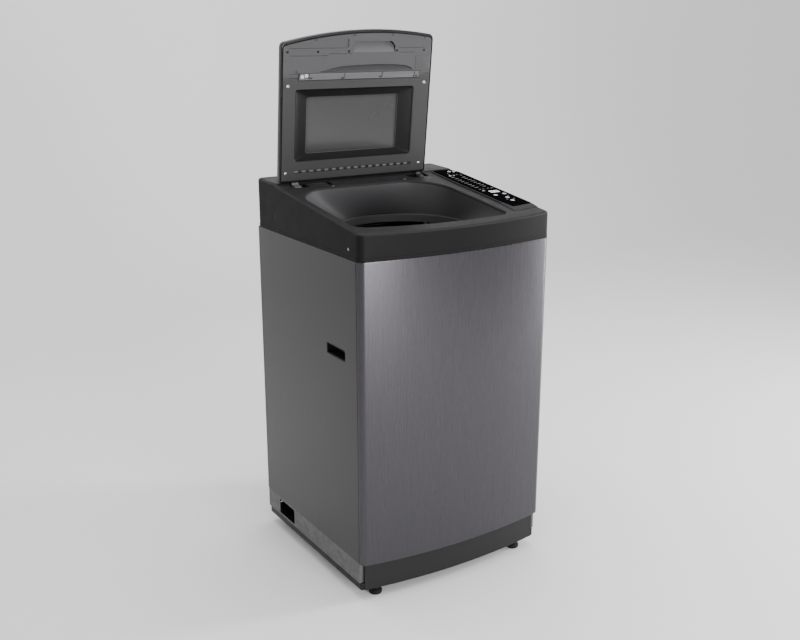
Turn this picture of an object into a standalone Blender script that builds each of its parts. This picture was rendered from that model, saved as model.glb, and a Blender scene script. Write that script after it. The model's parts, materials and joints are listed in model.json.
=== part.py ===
# Top load washing machine, modelled as an assembly of separate pieces.
# Metres, +Z up, front of the machine towards -Y, floor at z = 0.
# Every position below is measured from the cabinet's front corners (y = 0)
# and the cabinet's centre plane (x = 0). The "machine" empty moves the whole
# assembly back so that the world origin is the centre of its footprint.
import math

import bpy
import bmesh
from mathutils import Matrix, Vector

# ---------------------------------------------------------------- dimensions
HALF_W = 0.280            # half the cabinet width
Y_BACK = 0.5384           # rear face of the side panels
Y_SPIGOT = 0.5490         # rear end of the inlet spigot, the rearmost point
BOW_APEX = -0.0285        # foremost point of the bowed front
BOW_K = 0.350             # bow: y = apex + k x^2
SHIFT_Y = -(Y_SPIGOT + BOW_APEX) / 2.0

Z_RUNNER = 0.030          # underside of the base runners
Z_SKIRT = 0.050           # bottom of the side skirts
Z_BASE = 0.1055           # bottom of the cabinet panels
Z_SEAM = 0.8872           # top of the cabinet panels
SHEET = 0.0012            # sheet steel thickness
GAP = 0.0004              # clearance between fitted pieces

SLOPE = 0.129             # fall of the deck towards the front, per metre
DECK_Z = 0.996            # deck height at DECK_Y
DECK_Y = 0.425
PLATEAU_Z = 1.0005        # rear plateau at its front edge
PLATEAU_RISE = 0.0040     # rise of the plateau to the back

TUB_Y = 0.262             # tub axis
TUB_R = 0.250             # outer tub radius
BASKET_R = 0.232
MOUTH_Y = 0.250           # centre of the filling mouth
MOUTH_R = 0.166

HINGE_Y = 0.408           # lid hinge axis
HINGE_Z = 0.9808
ARM_R = 0.0125            # disc of a hinge arm about its pin
LID_Y = 0.420             # lower edge of the open lid's inner face
LID_Z = 1.0012
LID_LEAN = 6.2            # degrees the open lid leans towards the front
LID_X0, LID_X1 = -0.270, 0.179
LID_T = 0.020             # lid thickness
LID_TIP = 0.3838          # length at the crown of the front edge
LID_TIP_K = 0.44

PULLEY_R = 0.075          # drive pulley
MOTOR_PULLEY_R = 0.022
MOTOR_X = 0.150
PULLEY_Z0, PULLEY_Z1 = 0.216, 0.232

BUTTON_TRAVEL = 0.0008

# ------------------------------------------------------------------ cleaning
for o in list(bpy.data.objects):
    bpy.data.objects.remove(o, do_unlink=True)

SCENE = bpy.context.scene.collection


# ----------------------------------------------------------------- materials
def material(name, rgb, rough, metal=0.0, coat=0.0, alpha=1.0):
    m = bpy.data.materials.new(name)
    m.use_nodes = True
    b = m.node_tree.nodes["Principled BSDF"]
    b.inputs["Base Color"].default_value = (rgb[0], rgb[1], rgb[2], 1.0)
    b.inputs["Roughness"].default_value = rough
    b.inputs["Metallic"].default_value = metal
    b.inputs["Coat Weight"].default_value = coat
    b.inputs["Alpha"].default_value = alpha
    return m


CABINET = (0.175, 0.168, 0.182)
COVER = (0.052, 0.050, 0.053)
BLACK = (0.012, 0.012, 0.013)
ZINC = (0.48, 0.48, 0.49)


# ------------------------------------------------------------------- helpers
def empty(name, loc, parent=None, rot_x=0.0):
    e = bpy.data.objects.new(name, None)
    SCENE.objects.link(e)
    e.parent = parent
    e.location = loc
    e.rotation_euler = (rot_x, 0.0, 0.0)
    return e


def add(name, bm, rgb, rough, metal=0.0, parent=None, loc=(0, 0, 0), smooth=35.0, hidden=False, **kw):
    """Turns a bmesh into an object whose mesh is measured from loc."""
    bmesh.ops.recalc_face_normals(bm, faces=bm.faces)
    me = bpy.data.meshes.new(name)
    bm.to_mesh(me)
    bm.free()
    me.shade_smooth()
    me.set_sharp_from_angle(angle=math.radians(smooth))
    o = bpy.data.objects.new(name, me)
    SCENE.objects.link(o)
    o.parent = parent
    o.location = loc
    if hidden:
        o.hide_render = True
        o.display_type = "WIRE"
    else:
        me.materials.append(material(name, rgb, rough, metal, **kw))
    return o


def loft(rings, closed=False, caps=True):
    """Skins equal-length rings of points; closed joins the last ring to the first."""
    bm = bmesh.new()
    vs = [[bm.verts.new(p) for p in ring] for ring in rings]
    n = len(rings[0])
    pairs = list(zip(vs, vs[1:]))
    if closed:
        pairs.append((vs[-1], vs[0]))
    for a, b in pairs:
        for i in range(n):
            j = (i + 1) % n
            bm.faces.new((a[i], a[j], b[j], b[i]))
    if not closed and caps:
        bm.faces.new(list(reversed(vs[0])))
        bm.faces.new(vs[-1])
    return bm


def prism(points, lo, hi, axis="z"):
    """Extrudes a plane outline along one axis."""
    def put(p, h):
        if axis == "z":
            return (p[0], p[1], h)
        if axis == "x":
            return (h, p[0], p[1])
        return (p[0], h, p[1])
    return loft([[put(p, lo) for p in points], [put(p, hi) for p in points]])


def block(x0, x1, y0, y1, z0, z1):
    return prism([(x0, y0), (x1, y0), (x1, y1), (x0, y1)], z0, z1)


def lathe(profile, n=32, centre=(0.0, 0.0), closed=True, axis="z"):
    """Turns a closed outline (r, h) round an axis. Points at r = 0 are poles."""
    cx, cy = centre
    bm = bmesh.new()
    rows = []
    for r, h in profile:
        if r < 1e-9:
            p = (cx, cy, h) if axis == "z" else ((cx, h, cy) if axis == "y" else (h, cx, cy))
            rows.append([bm.verts.new(p)])
            continue
        row = []
        for i in range(n):
            a = 2 * math.pi * i / n
            u, v = cx + r * math.cos(a), cy + r * math.sin(a)
            p = (u, v, h) if axis == "z" else ((u, h, v) if axis == "y" else (h, u, v))
            row.append(bm.verts.new(p))
        rows.append(row)
    pairs = list(zip(rows, rows[1:]))
    if closed:
        pairs.append((rows[-1], rows[0]))
    for a, b in pairs:
        if len(a) == 1 and len(b) == 1:
            continue
        for i in range(n):
            j = (i + 1) % n
            if len(a) == 1:
                bm.faces.new((a[0], b[j], b[i]))
            elif len(b) == 1:
                bm.faces.new((a[i], a[j], b[0]))
            else:
                bm.faces.new((a[i], a[j], b[j], b[i]))
    return bm


def boolean(target, cutter, op="DIFFERENCE"):
    m = target.modifiers.new(op.lower() + "_" + cutter.name, "BOOLEAN")
    m.operation = op
    m.object = cutter
    m.solver = "EXACT"


def cutter(name, bm, parent, loc=(0, 0, 0)):
    return add(name, bm, (1, 0, 0), 0.5, parent=parent, loc=loc, hidden=True)


def bow(x, apex=BOW_APEX, k=BOW_K):
    return apex + k * x * x


def deck(y):
    """Height of the top cover at a distance y behind the front corners."""
    if y <= DECK_Y:
        return DECK_Z - SLOPE * (DECK_Y - y)
    if y >= 0.430:
        return PLATEAU_Z + PLATEAU_RISE * min(1.0, (y - 0.430) / 0.1)
    return DECK_Z + (PLATEAU_Z - DECK_Z) * (y - DECK_Y) / (0.430 - DECK_Y)


def stations(lo, hi, n, kink):
    """Distances along a side; with a kink, two of them stand at its edges."""
    if kink is None:
        return [lo + (hi - lo) * i / n for i in range(n + 1)]
    return [lo + (kink[0] - lo) * i / (n - 2) for i in range(n - 1)] + [kink[1], hi]


def outline(x0, x1, y1, front, r_front, r_back, nx=12, ny=8, nc=3, kink=None):
    """Plan outline with a bowed front edge front(x), a straight back edge and
    rounded corners. Points run front left to front right and round the back."""
    pts = []
    rfl, rfr = r_front
    rbl, rbr = r_back

    def arc(cx, cy, r, a0, a1):
        for i in range(1, nc + 1):
            a = math.radians(a0 + (a1 - a0) * i / (nc + 1))
            pts.append((cx + r * math.cos(a), cy + r * math.sin(a)))

    xa, xb = x0 + rfl, x1 - rfr
    for i in range(nx + 1):
        x = xa + (xb - xa) * i / nx
        pts.append((x, front(x)))
    cy = front(xb) + rfr
    arc(xb, cy, rfr, -90, 0)
    for y in stations(cy, y1 - rbr, ny, kink):
        pts.append((x1, y))
    arc(x1 - rbr, y1 - rbr, rbr, 0, 90)
    for i in range(nx + 1):
        xs, xe = x1 - rbr, x0 + rbl
        pts.append((xs + (xe - xs) * i / nx, y1))
    arc(x0 + rbl, y1 - rbl, rbl, 90, 180)
    cy = front(xa) + rfl
    for y in reversed(stations(cy, y1 - rbl, ny, kink)):
        pts.append((x0, y))
    arc(xa, cy, rfl, 180, 270)
    return pts


machine = empty("machine", (0.0, SHIFT_Y, 0.0))

# =================================================================== CABINET
# Side panels: sheet with a flange turned in at the front and the back, and a
# hole for the moulded hand grip.
SIDE_Y0 = 0.0030
GRIP_Y0, GRIP_Y1, GRIP_Z0, GRIP_Z1 = 0.070, 0.161, 0.619, 0.647
for side, s in (("left", -1), ("right", 1)):
    x = s * HALF_W
    t = s * SHEET
    pts = [(x, SIDE_Y0), (x, Y_BACK), (x - s * 0.018, Y_BACK), (x - s * 0.018, Y_BACK - SHEET),
           (x - t, Y_BACK - SHEET), (x - t, SIDE_Y0 + SHEET), (x - s * 0.012, SIDE_Y0 + SHEET), (x - s * 0.012, SIDE_Y0)]
    panel = add(f"{side}_side_panel", prism(pts, Z_BASE, Z_SEAM), CABINET, 0.38, 0.55, machine)
    hole = cutter(f"cut_grip_{side}", block(x - 0.006, x + 0.006, GRIP_Y0, GRIP_Y1, GRIP_Z0, GRIP_Z1), machine)
    boolean(panel, hole)
    # hand grip: a moulded pocket behind the hole
    g = GAP
    cup = add(f"{side}_hand_grip", block(min(x, x - s * 0.030) + (0 if s > 0 else 0.0004), max(x, x - s * 0.030) - (0.0004 if s > 0 else 0),
                                         GRIP_Y0 + g, GRIP_Y1 - g, GRIP_Z0 + g, GRIP_Z1 - g), BLACK, 0.5, 0.0, machine)
    inner = cutter(f"cut_cup_{side}", block(min(x + s * 0.01, x - s * 0.028), max(x + s * 0.01, x - s * 0.028),
                                            GRIP_Y0 + g + 0.002, GRIP_Y1 - g - 0.002, GRIP_Z0 + g + 0.002, GRIP_Z1 - g - 0.002), machine)
    boolean(cup, inner)

# Front panel: bowed sheet with its ends turned back beside the side panels.
n_bow = 20
xe = HALF_W - 0.0055
outer, inner_pts = [], []
outer.append((-HALF_W + 0.0004, 0.0026))
outer.append((-HALF_W + 0.0012, bow(xe) + 0.0010))
for i in range(n_bow + 1):
    x = -xe + 2 * xe * i / n_bow
    outer.append((x, bow(x)))
outer.append((HALF_W - 0.0012, bow(xe) + 0.0010))
outer.append((HALF_W - 0.0004, 0.0026))
inner_pts.append((HALF_W - 0.0016, 0.0026))
for i in range(n_bow + 1):
    x = (xe - 0.0006) * (1 - 2 * i / n_bow)
    inner_pts.append((x, bow(x) + SHEET + 0.0004))
inner_pts.append((-HALF_W + 0.0016, 0.0026))
add("front_panel", prism(outer + inner_pts, Z_BASE, Z_SEAM), CABINET, 0.34, 0.6, machine)

# Rear panel with its service opening and cover.
rear = add("rear_panel", block(-HALF_W + 0.0184, HALF_W - 0.0184, Y_BACK - SHEET, Y_BACK, Z_SKIRT, Z_SEAM), ZINC, 0.4, 0.8, machine)
boolean(rear, cutter("cut_service", block(-0.150, 0.150, Y_BACK - 0.01, Y_BACK + 0.01, 0.230, 0.360), machine))
add("rear_service_cover", block(-0.165, 0.165, Y_BACK + 0.0004, Y_BACK + 0.0016, 0.210, 0.380), ZINC, 0.42, 0.8, machine)
add("cord_gland", lathe([(0.0045, Y_BACK + 0.0004), (0.0045, Y_BACK + 0.0090), (0.0080, Y_BACK + 0.0090), (0.0100, Y_BACK + 0.0030),
                         (0.0130, Y_BACK + 0.0030), (0.0130, Y_BACK + 0.0004)], 16, (0.215, 0.190), axis="y"), BLACK, 0.6, 0.0, machine)

# Cross braces that carry the suspension rods, front and back.
for name, y0, y1 in (("front_brace", 0.0062, 0.0500), ("rear_brace", 0.4780, 0.5360)):
    brace = add(name, block(-0.2780, 0.2780, y0, y1, 0.8520, 0.8545), ZINC, 0.4, 0.8, machine)

# ====================================================================== BASE
# One moulded ring: runners under the sides, beams across the front and back.
base = add("base_frame", loft([[(x, y, z) for x, y in pts] for pts, z in (
    (((-0.2760, 0.0125), (0.2760, 0.0125), (0.2760, 0.5370), (-0.2760, 0.5370)), Z_RUNNER),
    (((-0.2760, 0.0125), (0.2760, 0.0125), (0.2760, 0.5370), (-0.2760, 0.5370)), Z_SKIRT - GAP),
    (((-0.2330, 0.0560), (0.2330, 0.0560), (0.2330, 0.4830), (-0.2330, 0.4830)), Z_SKIRT - GAP),
    (((-0.2330, 0.0560), (0.2330, 0.0560), (0.2330, 0.4830), (-0.2330, 0.4830)), Z_RUNNER))], closed=True), BLACK, 0.6, 0.0, machine)
# Zinc plated skirts between the runners and the side panels.
WIN_Y0, WIN_Y1 = 0.3750, 0.4650
for side, s in (("left", -1), ("right", 1)):
    xo = s * (HALF_W - 0.0012)
    xi = s * (HALF_W - 0.0028)
    xf = s * (HALF_W - 0.0160)
    pts = [(xo, 0.0160), (xo, 0.5366), (xi, 0.5366), (xi, 0.0176), (xf, 0.0176), (xf, 0.0160)]
    skirt = add(f"{side}_base_skirt", prism(pts, Z_SKIRT, Z_BASE - GAP), ZINC, 0.42, 0.85, machine)
    if s < 0:
        boolean(skirt, cutter("cut_hose_port", block(-HALF_W - 0.005, -HALF_W + 0.008, WIN_Y0, WIN_Y1, 0.0440, 0.0990), machine))
# Drain outlet: a flanged pipe that faces the port in the left skirt.
add("drain_outlet", lathe([(0.0130, -0.2560), (0.0130, -0.2050), (0.0155, -0.2050), (0.0155, -0.2380), (0.0220, -0.2380),
                           (0.0220, -0.2410), (0.0160, -0.2410), (0.0160, -0.2560)], 20, (0.420, 0.0800), axis="x"), BLACK, 0.5, 0.0, machine)
# Kick plate: bowed, set back under the front panel.
kick_o, kick_i = [], []
for i in range(15):
    x = -0.262 + 0.524 * i / 14
    y = -0.0130 + 0.33 * x * x
    kick_o.append((x, y))
    kick_i.append((x, y + 0.0025))
kick = [(-0.2680, 0.0150)] + kick_o + [(0.2680, 0.0150), (0.2650, 0.0150)] + list(reversed(kick_i)) + [(-0.2650, 0.0150)]
kick_bm = prism(kick, Z_RUNNER, Z_BASE - GAP)
KICK = add("kick_plate", kick_bm, BLACK, 0.45, 0.0, machine)
boolean(KICK, cutter("cut_kick", block(-0.3, 0.3, 0.0118, 0.03, 0.02, 0.0502), machine))

# Levelling feet: a pad under a threaded stem, each turning in its corner.
FEET = {"front_left": (-0.222, 0.0345), "front_right": (0.222, 0.0345), "rear_left": (-0.222, 0.5100), "rear_right": (0.222, 0.5100)}
FOOT = [(0.0, 0.0), (0.0150, 0.0), (0.0170, 0.0025), (0.0170, 0.0090), (0.0120, 0.0130), (0.0120, 0.0200), (0.0050, 0.0200), (0.0050, 0.0620), (0.0, 0.0620)]
for key, (fx, fy) in FEET.items():
    add(f"foot_{key}", lathe(FOOT, 14, closed=False), BLACK, 0.55, 0.0, machine, (fx, fy, 0.0))
    boolean(base, cutter(f"cut_foot_{key}", lathe([(0.0, 0.02), (0.0056, 0.02), (0.0056, 0.06), (0.0, 0.06)], 12, (fx, fy), closed=False), machine))

# ================================================================= TOP COVER
OPEN_X0, OPEN_X1, OPEN_Y1 = -0.2580, 0.1650, 0.3740


def open_front(x):
    return 0.0125 + 0.42 * (x - 0.030) ** 2


def body_ring(inset, y1=None):
    yb = (Y_BACK if y1 is None else y1)
    return outline(-HALF_W + inset, HALF_W - inset, yb - (inset if y1 is None else 0.0),
                   lambda x: bow(x) + inset, (0.0100, 0.0100), (0.0140, 0.0140),
                   kink=(0.4250, 0.4300) if y1 is None else (y1 - 0.0180, y1 - 0.0160))


def open_ring(off):
    return outline(OPEN_X0 - off, OPEN_X1 + off, OPEN_Y1 + off, lambda x: open_front(x) - off,
                   (0.030, 0.022), (0.115, 0.115))


BASE_OPEN = open_ring(0.0)
ANG = [math.atan2(p[1] - 0.200, p[0] + 0.040) for p in BASE_OPEN]


def mouth_ring(r, z, cy=MOUTH_Y):
    return [(-0.002 + r * math.cos(a), cy + r * math.sin(a), z) for a in ANG]


def on_deck(pts, dz):
    return [(p[0], p[1], deck(p[1]) + dz) for p in pts]


def mix(a, b, t, z):
    return [(p[0] * (1 - t) + q[0] * t, p[1] * (1 - t) + q[1] * t, z(p)) for p, q in zip(a, b)]


Z0 = Z_SEAM + GAP
WALL = 0.0030
rings = [
    [(p[0], p[1], Z0) for p in body_ring(0.0)],
    on_deck(body_ring(0.0), -0.0090),
    on_deck(body_ring(0.0030), -0.0026),
    on_deck(body_ring(0.0090), 0.0),
    on_deck(body_ring(0.0110, 0.4300), 0.0),
    on_deck(body_ring(0.0130, 0.4250), 0.0),
    on_deck(open_ring(0.0020), 0.0),
    on_deck(open_ring(0.0), -0.0020),
    mix(open_ring(0.0), mouth_ring(MOUTH_R, 0), 0.20, lambda p: deck(p[1]) - 0.022),
    mouth_ring(MOUTH_R + 0.004, 0.8930),
    mouth_ring(MOUTH_R, 0.8870),
    mouth_ring(MOUTH_R, 0.8750),
    mouth_ring(MOUTH_R + WALL, 0.8750),
    mouth_ring(MOUTH_R + 0.008, 0.8890),
    mix(open_ring(0.0035), mouth_ring(MOUTH_R + WALL, 0), 0.20, lambda p: deck(p[1]) - 0.0245),
    on_deck(open_ring(0.0042), -0.0032),
    on_deck(body_ring(0.0140, 0.4240), -0.0032),
    on_deck(body_ring(0.0120, 0.4300), -0.0032),
    on_deck(body_ring(0.0095), -0.0032),
    on_deck(body_ring(0.0032), -0.0100),
    [(p[0], p[1], Z0) for p in body_ring(0.0030)],
]
cover = add("top_cover", loft(rings, closed=True), COVER, 0.45, 0.0, machine, smooth=40)

# Hinge wells: openings behind the filling mouth, each lined by a bracket.
WELLS = {"left": (-0.2420, -0.1250), "right": (0.1120, 0.1760)}
WELL_Y0, WELL_Y1 = 0.3905, 0.4240
for side, (x0, x1) in WELLS.items():
    boolean(cover, cutter(f"cut_well_{side}", block(x0, x1, WELL_Y0, WELL_Y1, 0.940, 1.010), machine))
    br = add(f"hinge_bracket_{side}", block(x0 + GAP, x1 - GAP, WELL_Y0 + GAP, WELL_Y1 - GAP, 0.9640, 0.9905), BLACK, 0.5, 0.0, machine)
    boolean(br, cutter(f"cut_bracket_{side}", block(x0 + 0.002, x1 - 0.002, WELL_Y0 + 0.002, WELL_Y1 - 0.002, 0.9660, 1.000), machine))
# Inlet valve behind the plateau; its threaded spigot points out at the back.
boolean(cover, cutter("cut_inlet", lathe([(0.0, 0.5300), (0.0140, 0.5300), (0.0140, 0.5600), (0.0, 0.5600)], 24, (0.150, 0.9450), closed=False, axis="y"), machine))
add("inlet_valve", lathe([(0.0, 0.4700), (0.0190, 0.4700), (0.0190, 0.5280), (0.0132, 0.5280), (0.0132, Y_SPIGOT), (0.0090, Y_SPIGOT),
                          (0.0090, 0.5000), (0.0, 0.5000)], 20, (0.150, 0.9450), closed=False, axis="y"), (0.75, 0.75, 0.72), 0.4, 0.0, machine)

# ============================================================ CONTROL PANEL
# Local frame on the sloping deck: x to the right, y up the slope, z outward.
tilt = math.atan(SLOPE)
C_Y = 0.230
panel_frame = empty("control_frame", (0.0, C_Y, deck(C_Y)), machine, tilt)


def quad(pts, lo, hi):
    return prism(pts, lo, hi)


housing = add("control_housing", quad([(0.1840, -0.2000), (0.2765, -0.1890), (0.2765, 0.1650), (0.2640, 0.1930), (0.2020, 0.1930)], 0.0007, 0.0031),
              COVER, 0.4, 0.0, panel_frame)
overlay = add("control_overlay", quad([(0.2050, -0.1760), (0.2745, -0.1640), (0.2745, 0.1610), (0.2620, 0.1910), (0.2075, 0.1910)], 0.0033, 0.0044),
              BLACK, 0.12, 0.0, panel_frame, coat=1.0)
BUTTONS = {"power_button": (0.2632, 0.1700, 0.0052), "start_button": (0.2480, 0.1710, 0.0052), "programme_button": (0.2265, -0.0745, 0.0058), "temperature_button": (0.2585, -0.0700, 0.0058),
           "spin_button": (0.2440, -0.1020, 0.0058), "delay_button": (0.2400, -0.1290, 0.0058)}
for name, (bx, by, br_) in BUTTONS.items():
    boolean(overlay, cutter("cut_" + name, lathe([(0.0, 0.0025), (br_ + GAP, 0.0025), (br_ + GAP, 0.006), (0.0, 0.006)], 16, (bx, by), closed=False), panel_frame))
    boolean(housing, cutter("pocket_" + name, lathe([(0.0, 0.0008), (br_ + GAP, 0.0008), (br_ + GAP, 0.0045), (0.0, 0.0045)], 16, (bx, by), closed=False), panel_frame))
    add(name, lathe([(0.0, 0.0018), (br_, 0.0018), (br_, 0.0046), (br_ - 0.0008, 0.0050), (0.0, 0.0050)], 16, closed=False),
        (0.70, 0.70, 0.70), 0.3, 0.0, panel_frame, (bx, by, 0.0))
WX0, WX1, WY0, WY1 = 0.2310, 0.2600, -0.0520, -0.0340
boolean(overlay, cutter("cut_display", block(WX0 - GAP, WX1 + GAP, WY0 - GAP, WY1 + GAP, 0.002, 0.006), panel_frame))
boolean(housing, cutter("pocket_display", block(WX0 - GAP, WX1 + GAP, WY0 - GAP, WY1 + GAP, 0.0012, 0.0045), panel_frame))
add("display_window", block(WX0, WX1, WY0, WY1, 0.0016, 0.0043), (0.85, 0.88, 0.9), 0.1, 0.0, panel_frame)

# ====================================================================== LID
# Local frame of the open lid: x to the right, y up the lid, z out of the
# lid's inner face. The outer skin lies at z = -LID_T.
hinge = empty("lid_hinge_axis", (0.0, HINGE_Y, HINGE_Z), machine)
lean = math.radians(90.0 + LID_LEAN)
lid_frame = empty("lid_frame", (0.0, LID_Y - HINGE_Y, LID_Z - HINGE_Z), hinge, lean)


def lid_outline(inset, nx=14, nc=3, ny=2):
    x0, x1, y0 = LID_X0 + inset, LID_X1 - inset, inset
    rb, rt = 0.006, 0.014
    def top(x):
        return LID_TIP - LID_TIP_K * x * x - inset
    pts = []
    def arc(cx, cy, r, a0, a1):
        for i in range(nc + 1):
            a = math.radians(a0 + (a1 - a0) * i / nc)
            pts.append((cx + r * math.cos(a), cy + r * math.sin(a)))
    arc(x0 + rb, y0 + rb, rb, 180, 270)
    arc(x1 - rb, y0 + rb, rb, 270, 360)
    xr = x1 - rt
    arc(xr, top(xr) - rt, rt, 0, 90)
    for i in range(1, nx):
        x = xr + (x0 + rt - xr) * i / nx
        pts.append((x, top(x)))
    xl = x0 + rt
    arc(xl, top(xl) - rt, rt, 90, 180)
    return pts


W_X0, W_X1, W_Y0, W_Y1 = -0.1900, 0.0810, 0.0730, 0.2150
shell_rings = [
    [(p[0], p[1], -0.0006) for p in lid_outline(0.0)],
    [(p[0], p[1], -0.0140) for p in lid_outline(0.0)],
    [(p[0], p[1], -0.0186) for p in lid_outline(0.0025)],
    [(p[0], p[1], -LID_T) for p in lid_outline(0.0080)],
    [(p[0], p[1], -LID_T + 0.0025) for p in lid_outline(0.0080)],
    [(p[0], p[1], -LID_T + 0.0030) for p in lid_outline(0.0040)],
    [(p[0], p[1], -0.0006) for p in lid_outline(0.0026)],
]
# The skin closes across the lid: the two inner rings are capped.
bm = bmesh.new()
vs = [[bm.verts.new(p) for p in ring] for ring in shell_rings]
n = len(vs[0])
order = [vs[3], vs[2], vs[1], vs[0], vs[6], vs[5], vs[4]]
for a, b in zip(order, order[1:]):
    for i in range(n):
        j = (i + 1) % n
        bm.faces.new((a[i], a[j], b[j], b[i]))
bm.faces.new(vs[3])
bm.faces.new(vs[4])
shell = add("lid_outer_shell", bm, COVER, 0.35, 0.0, lid_frame)
boolean(shell, cutter("cut_lid_window", block(W_X0 + 0.006, W_X1 - 0.006, W_Y0 + 0.006, W_Y1 - 0.006, -0.03, 0.0), lid_frame))
add("lid_window_glass", block(W_X0 - 0.008, W_X1 + 0.008, W_Y0 - 0.008, W_Y1 + 0.008, -0.0170, -0.0130), (0.05, 0.05, 0.055), 0.05, 0.0, lid_frame, alpha=0.5)
frame_o = add("lid_inner_frame", loft([[(p[0], p[1], -0.0125) for p in lid_outline(0.0046)], [(p[0], p[1], 0.0) for p in lid_outline(0.0030)]]),
              (0.085, 0.083, 0.088), 0.5, 0.0, lid_frame)
boolean(frame_o, cutter("cut_inner_window", block(W_X0, W_X1, W_Y0, W_Y1, -0.03, 0.01), lid_frame))
boolean(frame_o, cutter("cut_inner_hollow", block(-0.255, 0.165, 0.232, 0.320, -0.03, -0.0030), lid_frame))
G_X0, G_X1, G_Y0, G_Y1 = -0.0620, 0.0540, 0.3300, 0.3540
boolean(frame_o, cutter("cut_finger_grip", block(G_X0, G_X1, G_Y0, G_Y1, -0.03, 0.01), lid_frame))
grip = add("lid_finger_grip", block(G_X0 + GAP, G_X1 - GAP, G_Y0 + GAP, G_Y1 - GAP, -0.0150, -0.0006), BLACK, 0.5, 0.0, lid_frame)
boolean(grip, cutter("cut_grip_inner", block(G_X0 + 0.002, G_X1 - 0.002, G_Y0 + 0.002, G_Y1 - 0.002, -0.0130, 0.01), lid_frame))
# Hinge arms: plates under the lid's lower edge that turn on the pins.
for side, (ax0, ax1) in (("left", (-0.2350, -0.2150)), ("right", (0.1500, 0.1640))):
    foot_y = LID_Y - HINGE_Y
    foot_z = LID_Z - HINGE_Z
    c, s_ = math.cos(math.radians(LID_LEAN)), math.sin(math.radians(LID_LEAN))

    def face(t, off):
        """Point t up the lid's inner face and off in front of it, from the hinge axis."""
        return (foot_y - t * s_ - off * c, foot_z + t * c - off * s_)
    # A disc inside the well and a neck up to the lid's lower edge. Outside the
    # disc the neck stays above the deck when the lid is shut.
    pts = []
    for k in range(9):
        a = math.radians(155 + 205 * k / 8)
        pts.append((ARM_R * math.cos(a), ARM_R * math.sin(a)))
    pts += [(0.0130, 0.0092), (0.0150, 0.0130), (0.0152, 0.0170), (0.0170, 0.0192)]
    pts.append(face(-0.0004, -0.0125))
    pts.append(face(-0.0004, -0.0010))
    pts += [(0.0116, 0.0190), (0.0114, 0.0130), (0.0040, 0.0126), (-0.0050, 0.0118)]
    arm = add(f"hinge_arm_{side}", prism(pts, ax0, ax1, axis="x"), BLACK, 0.5, 0.0, hinge)
    boolean(arm, cutter(f"cut_arm_{side}", lathe([(0.0, ax0 - 0.01), (0.0034, ax0 - 0.01), (0.0034, ax1 + 0.01), (0.0, ax1 + 0.01)], 16, closed=False, axis="x"), hinge))
# Hinge pins, held by the brackets; the left one carries the damper barrel.
add("hinge_pin_right", lathe([(0.0, 0.1150), (0.0028, 0.1150), (0.0028, 0.1735), (0.0, 0.1735)], 16, closed=False, axis="x"), (0.6, 0.6, 0.6), 0.3, 1.0, hinge)
add("lid_damper", lathe([(0.0, -0.2395), (0.0028, -0.2395), (0.0028, -0.2015), (0.0050, -0.2015), (0.0050, -0.1960), (0.0075, -0.1960), (0.0075, -0.1400),
                         (0.0050, -0.1380), (0.0, -0.1380)], 16, closed=False, axis="x"), BLACK, 0.45, 0.0, hinge)

# ================================================================ TUB GROUP
drum_axis = empty("drum_axis", (0.0, TUB_Y, 0.0), machine)
N = 32
# Outer tub: a moulded bowl with a hole for the shafts, and its ring on top.
add("outer_tub", lathe([(0.0215, 0.3960), (TUB_R - 0.012, 0.3960), (TUB_R, 0.4080), (TUB_R, 0.8380), (TUB_R - 0.003, 0.8380),
                        (TUB_R - 0.003, 0.4095), (TUB_R - 0.0135, 0.3990), (0.0215, 0.3990)], N), (0.55, 0.56, 0.58), 0.5, 0.0, drum_axis)
add("tub_ring", lathe([(TUB_R + 0.003, 0.8384), (TUB_R + 0.003, 0.8460), (0.1900, 0.8500), (0.1860, 0.8460), (0.1900, 0.8440), (TUB_R - 0.004, 0.8384)], N),
    (0.10, 0.10, 0.11), 0.5, 0.0, drum_axis)
# Steel carrier under the tub: a plate with four arms out to the rods.
arms = []
for k in range(4):
    a = math.radians(45 + 90 * k)
    da = 0.075
    for aa, r in ((a - da * 1.0, 0.3180), (a + da * 1.0, 0.3180)):
        arms.append((r * math.cos(aa), r * math.sin(aa)))
    b = math.radians(90 + 90 * k)
    arms.append((0.105 * math.cos(b - 0.40), 0.105 * math.sin(b - 0.40)))
    arms.append((0.105 * math.cos(b + 0.40), 0.105 * math.sin(b + 0.40)))
carrier = add("tub_carrier", prism(arms, 0.3850, 0.3890), ZINC, 0.4, 0.85, drum_axis)
boolean(carrier, cutter("cut_carrier_bore", lathe([(0.0, 0.37), (0.024, 0.37), (0.024, 0.40), (0.0, 0.40)], 24, closed=False), drum_axis))
boolean(carrier, cutter("cut_carrier_motor", lathe([(0.0, 0.37), (0.009, 0.37), (0.009, 0.40), (0.0, 0.40)], 16, (0.0, -0.085), closed=False), drum_axis))
# Suspension rods: ball at the brace, rod, and the sprung damper under the arm.
ROD = [(0.0, 0.2800), (0.0120, 0.2800), (0.0150, 0.2860), (0.0150, 0.3740), (0.0100, 0.3800), (0.0030, 0.3800), (0.0030, 0.8550), (0.0100, 0.8550),
       (0.0080, 0.8630), (0.0, 0.8660)]
rod_r = 0.3030
for key, ang in (("front_right", -45), ("rear_right", 45), ("rear_left", 135), ("front_left", -135)):
    a = math.radians(ang)
    rx, ry = rod_r * math.cos(a), rod_r * math.sin(a)
    add(f"suspension_rod_{key}", lathe(ROD, 10, closed=False), (0.5, 0.5, 0.5), 0.4, 0.8, drum_axis, (rx, ry, 0.0))
    hole = cutter(f"cut_rod_{key}", lathe([(0.0, 0.36), (0.0042, 0.36), (0.0042, 0.90), (0.0, 0.90)], 12, (rx, ry), closed=False), drum_axis)
    boolean(carrier, hole)
    boolean(bpy.data.objects["rear_brace" if "rear" in key else "front_brace"], hole)
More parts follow.
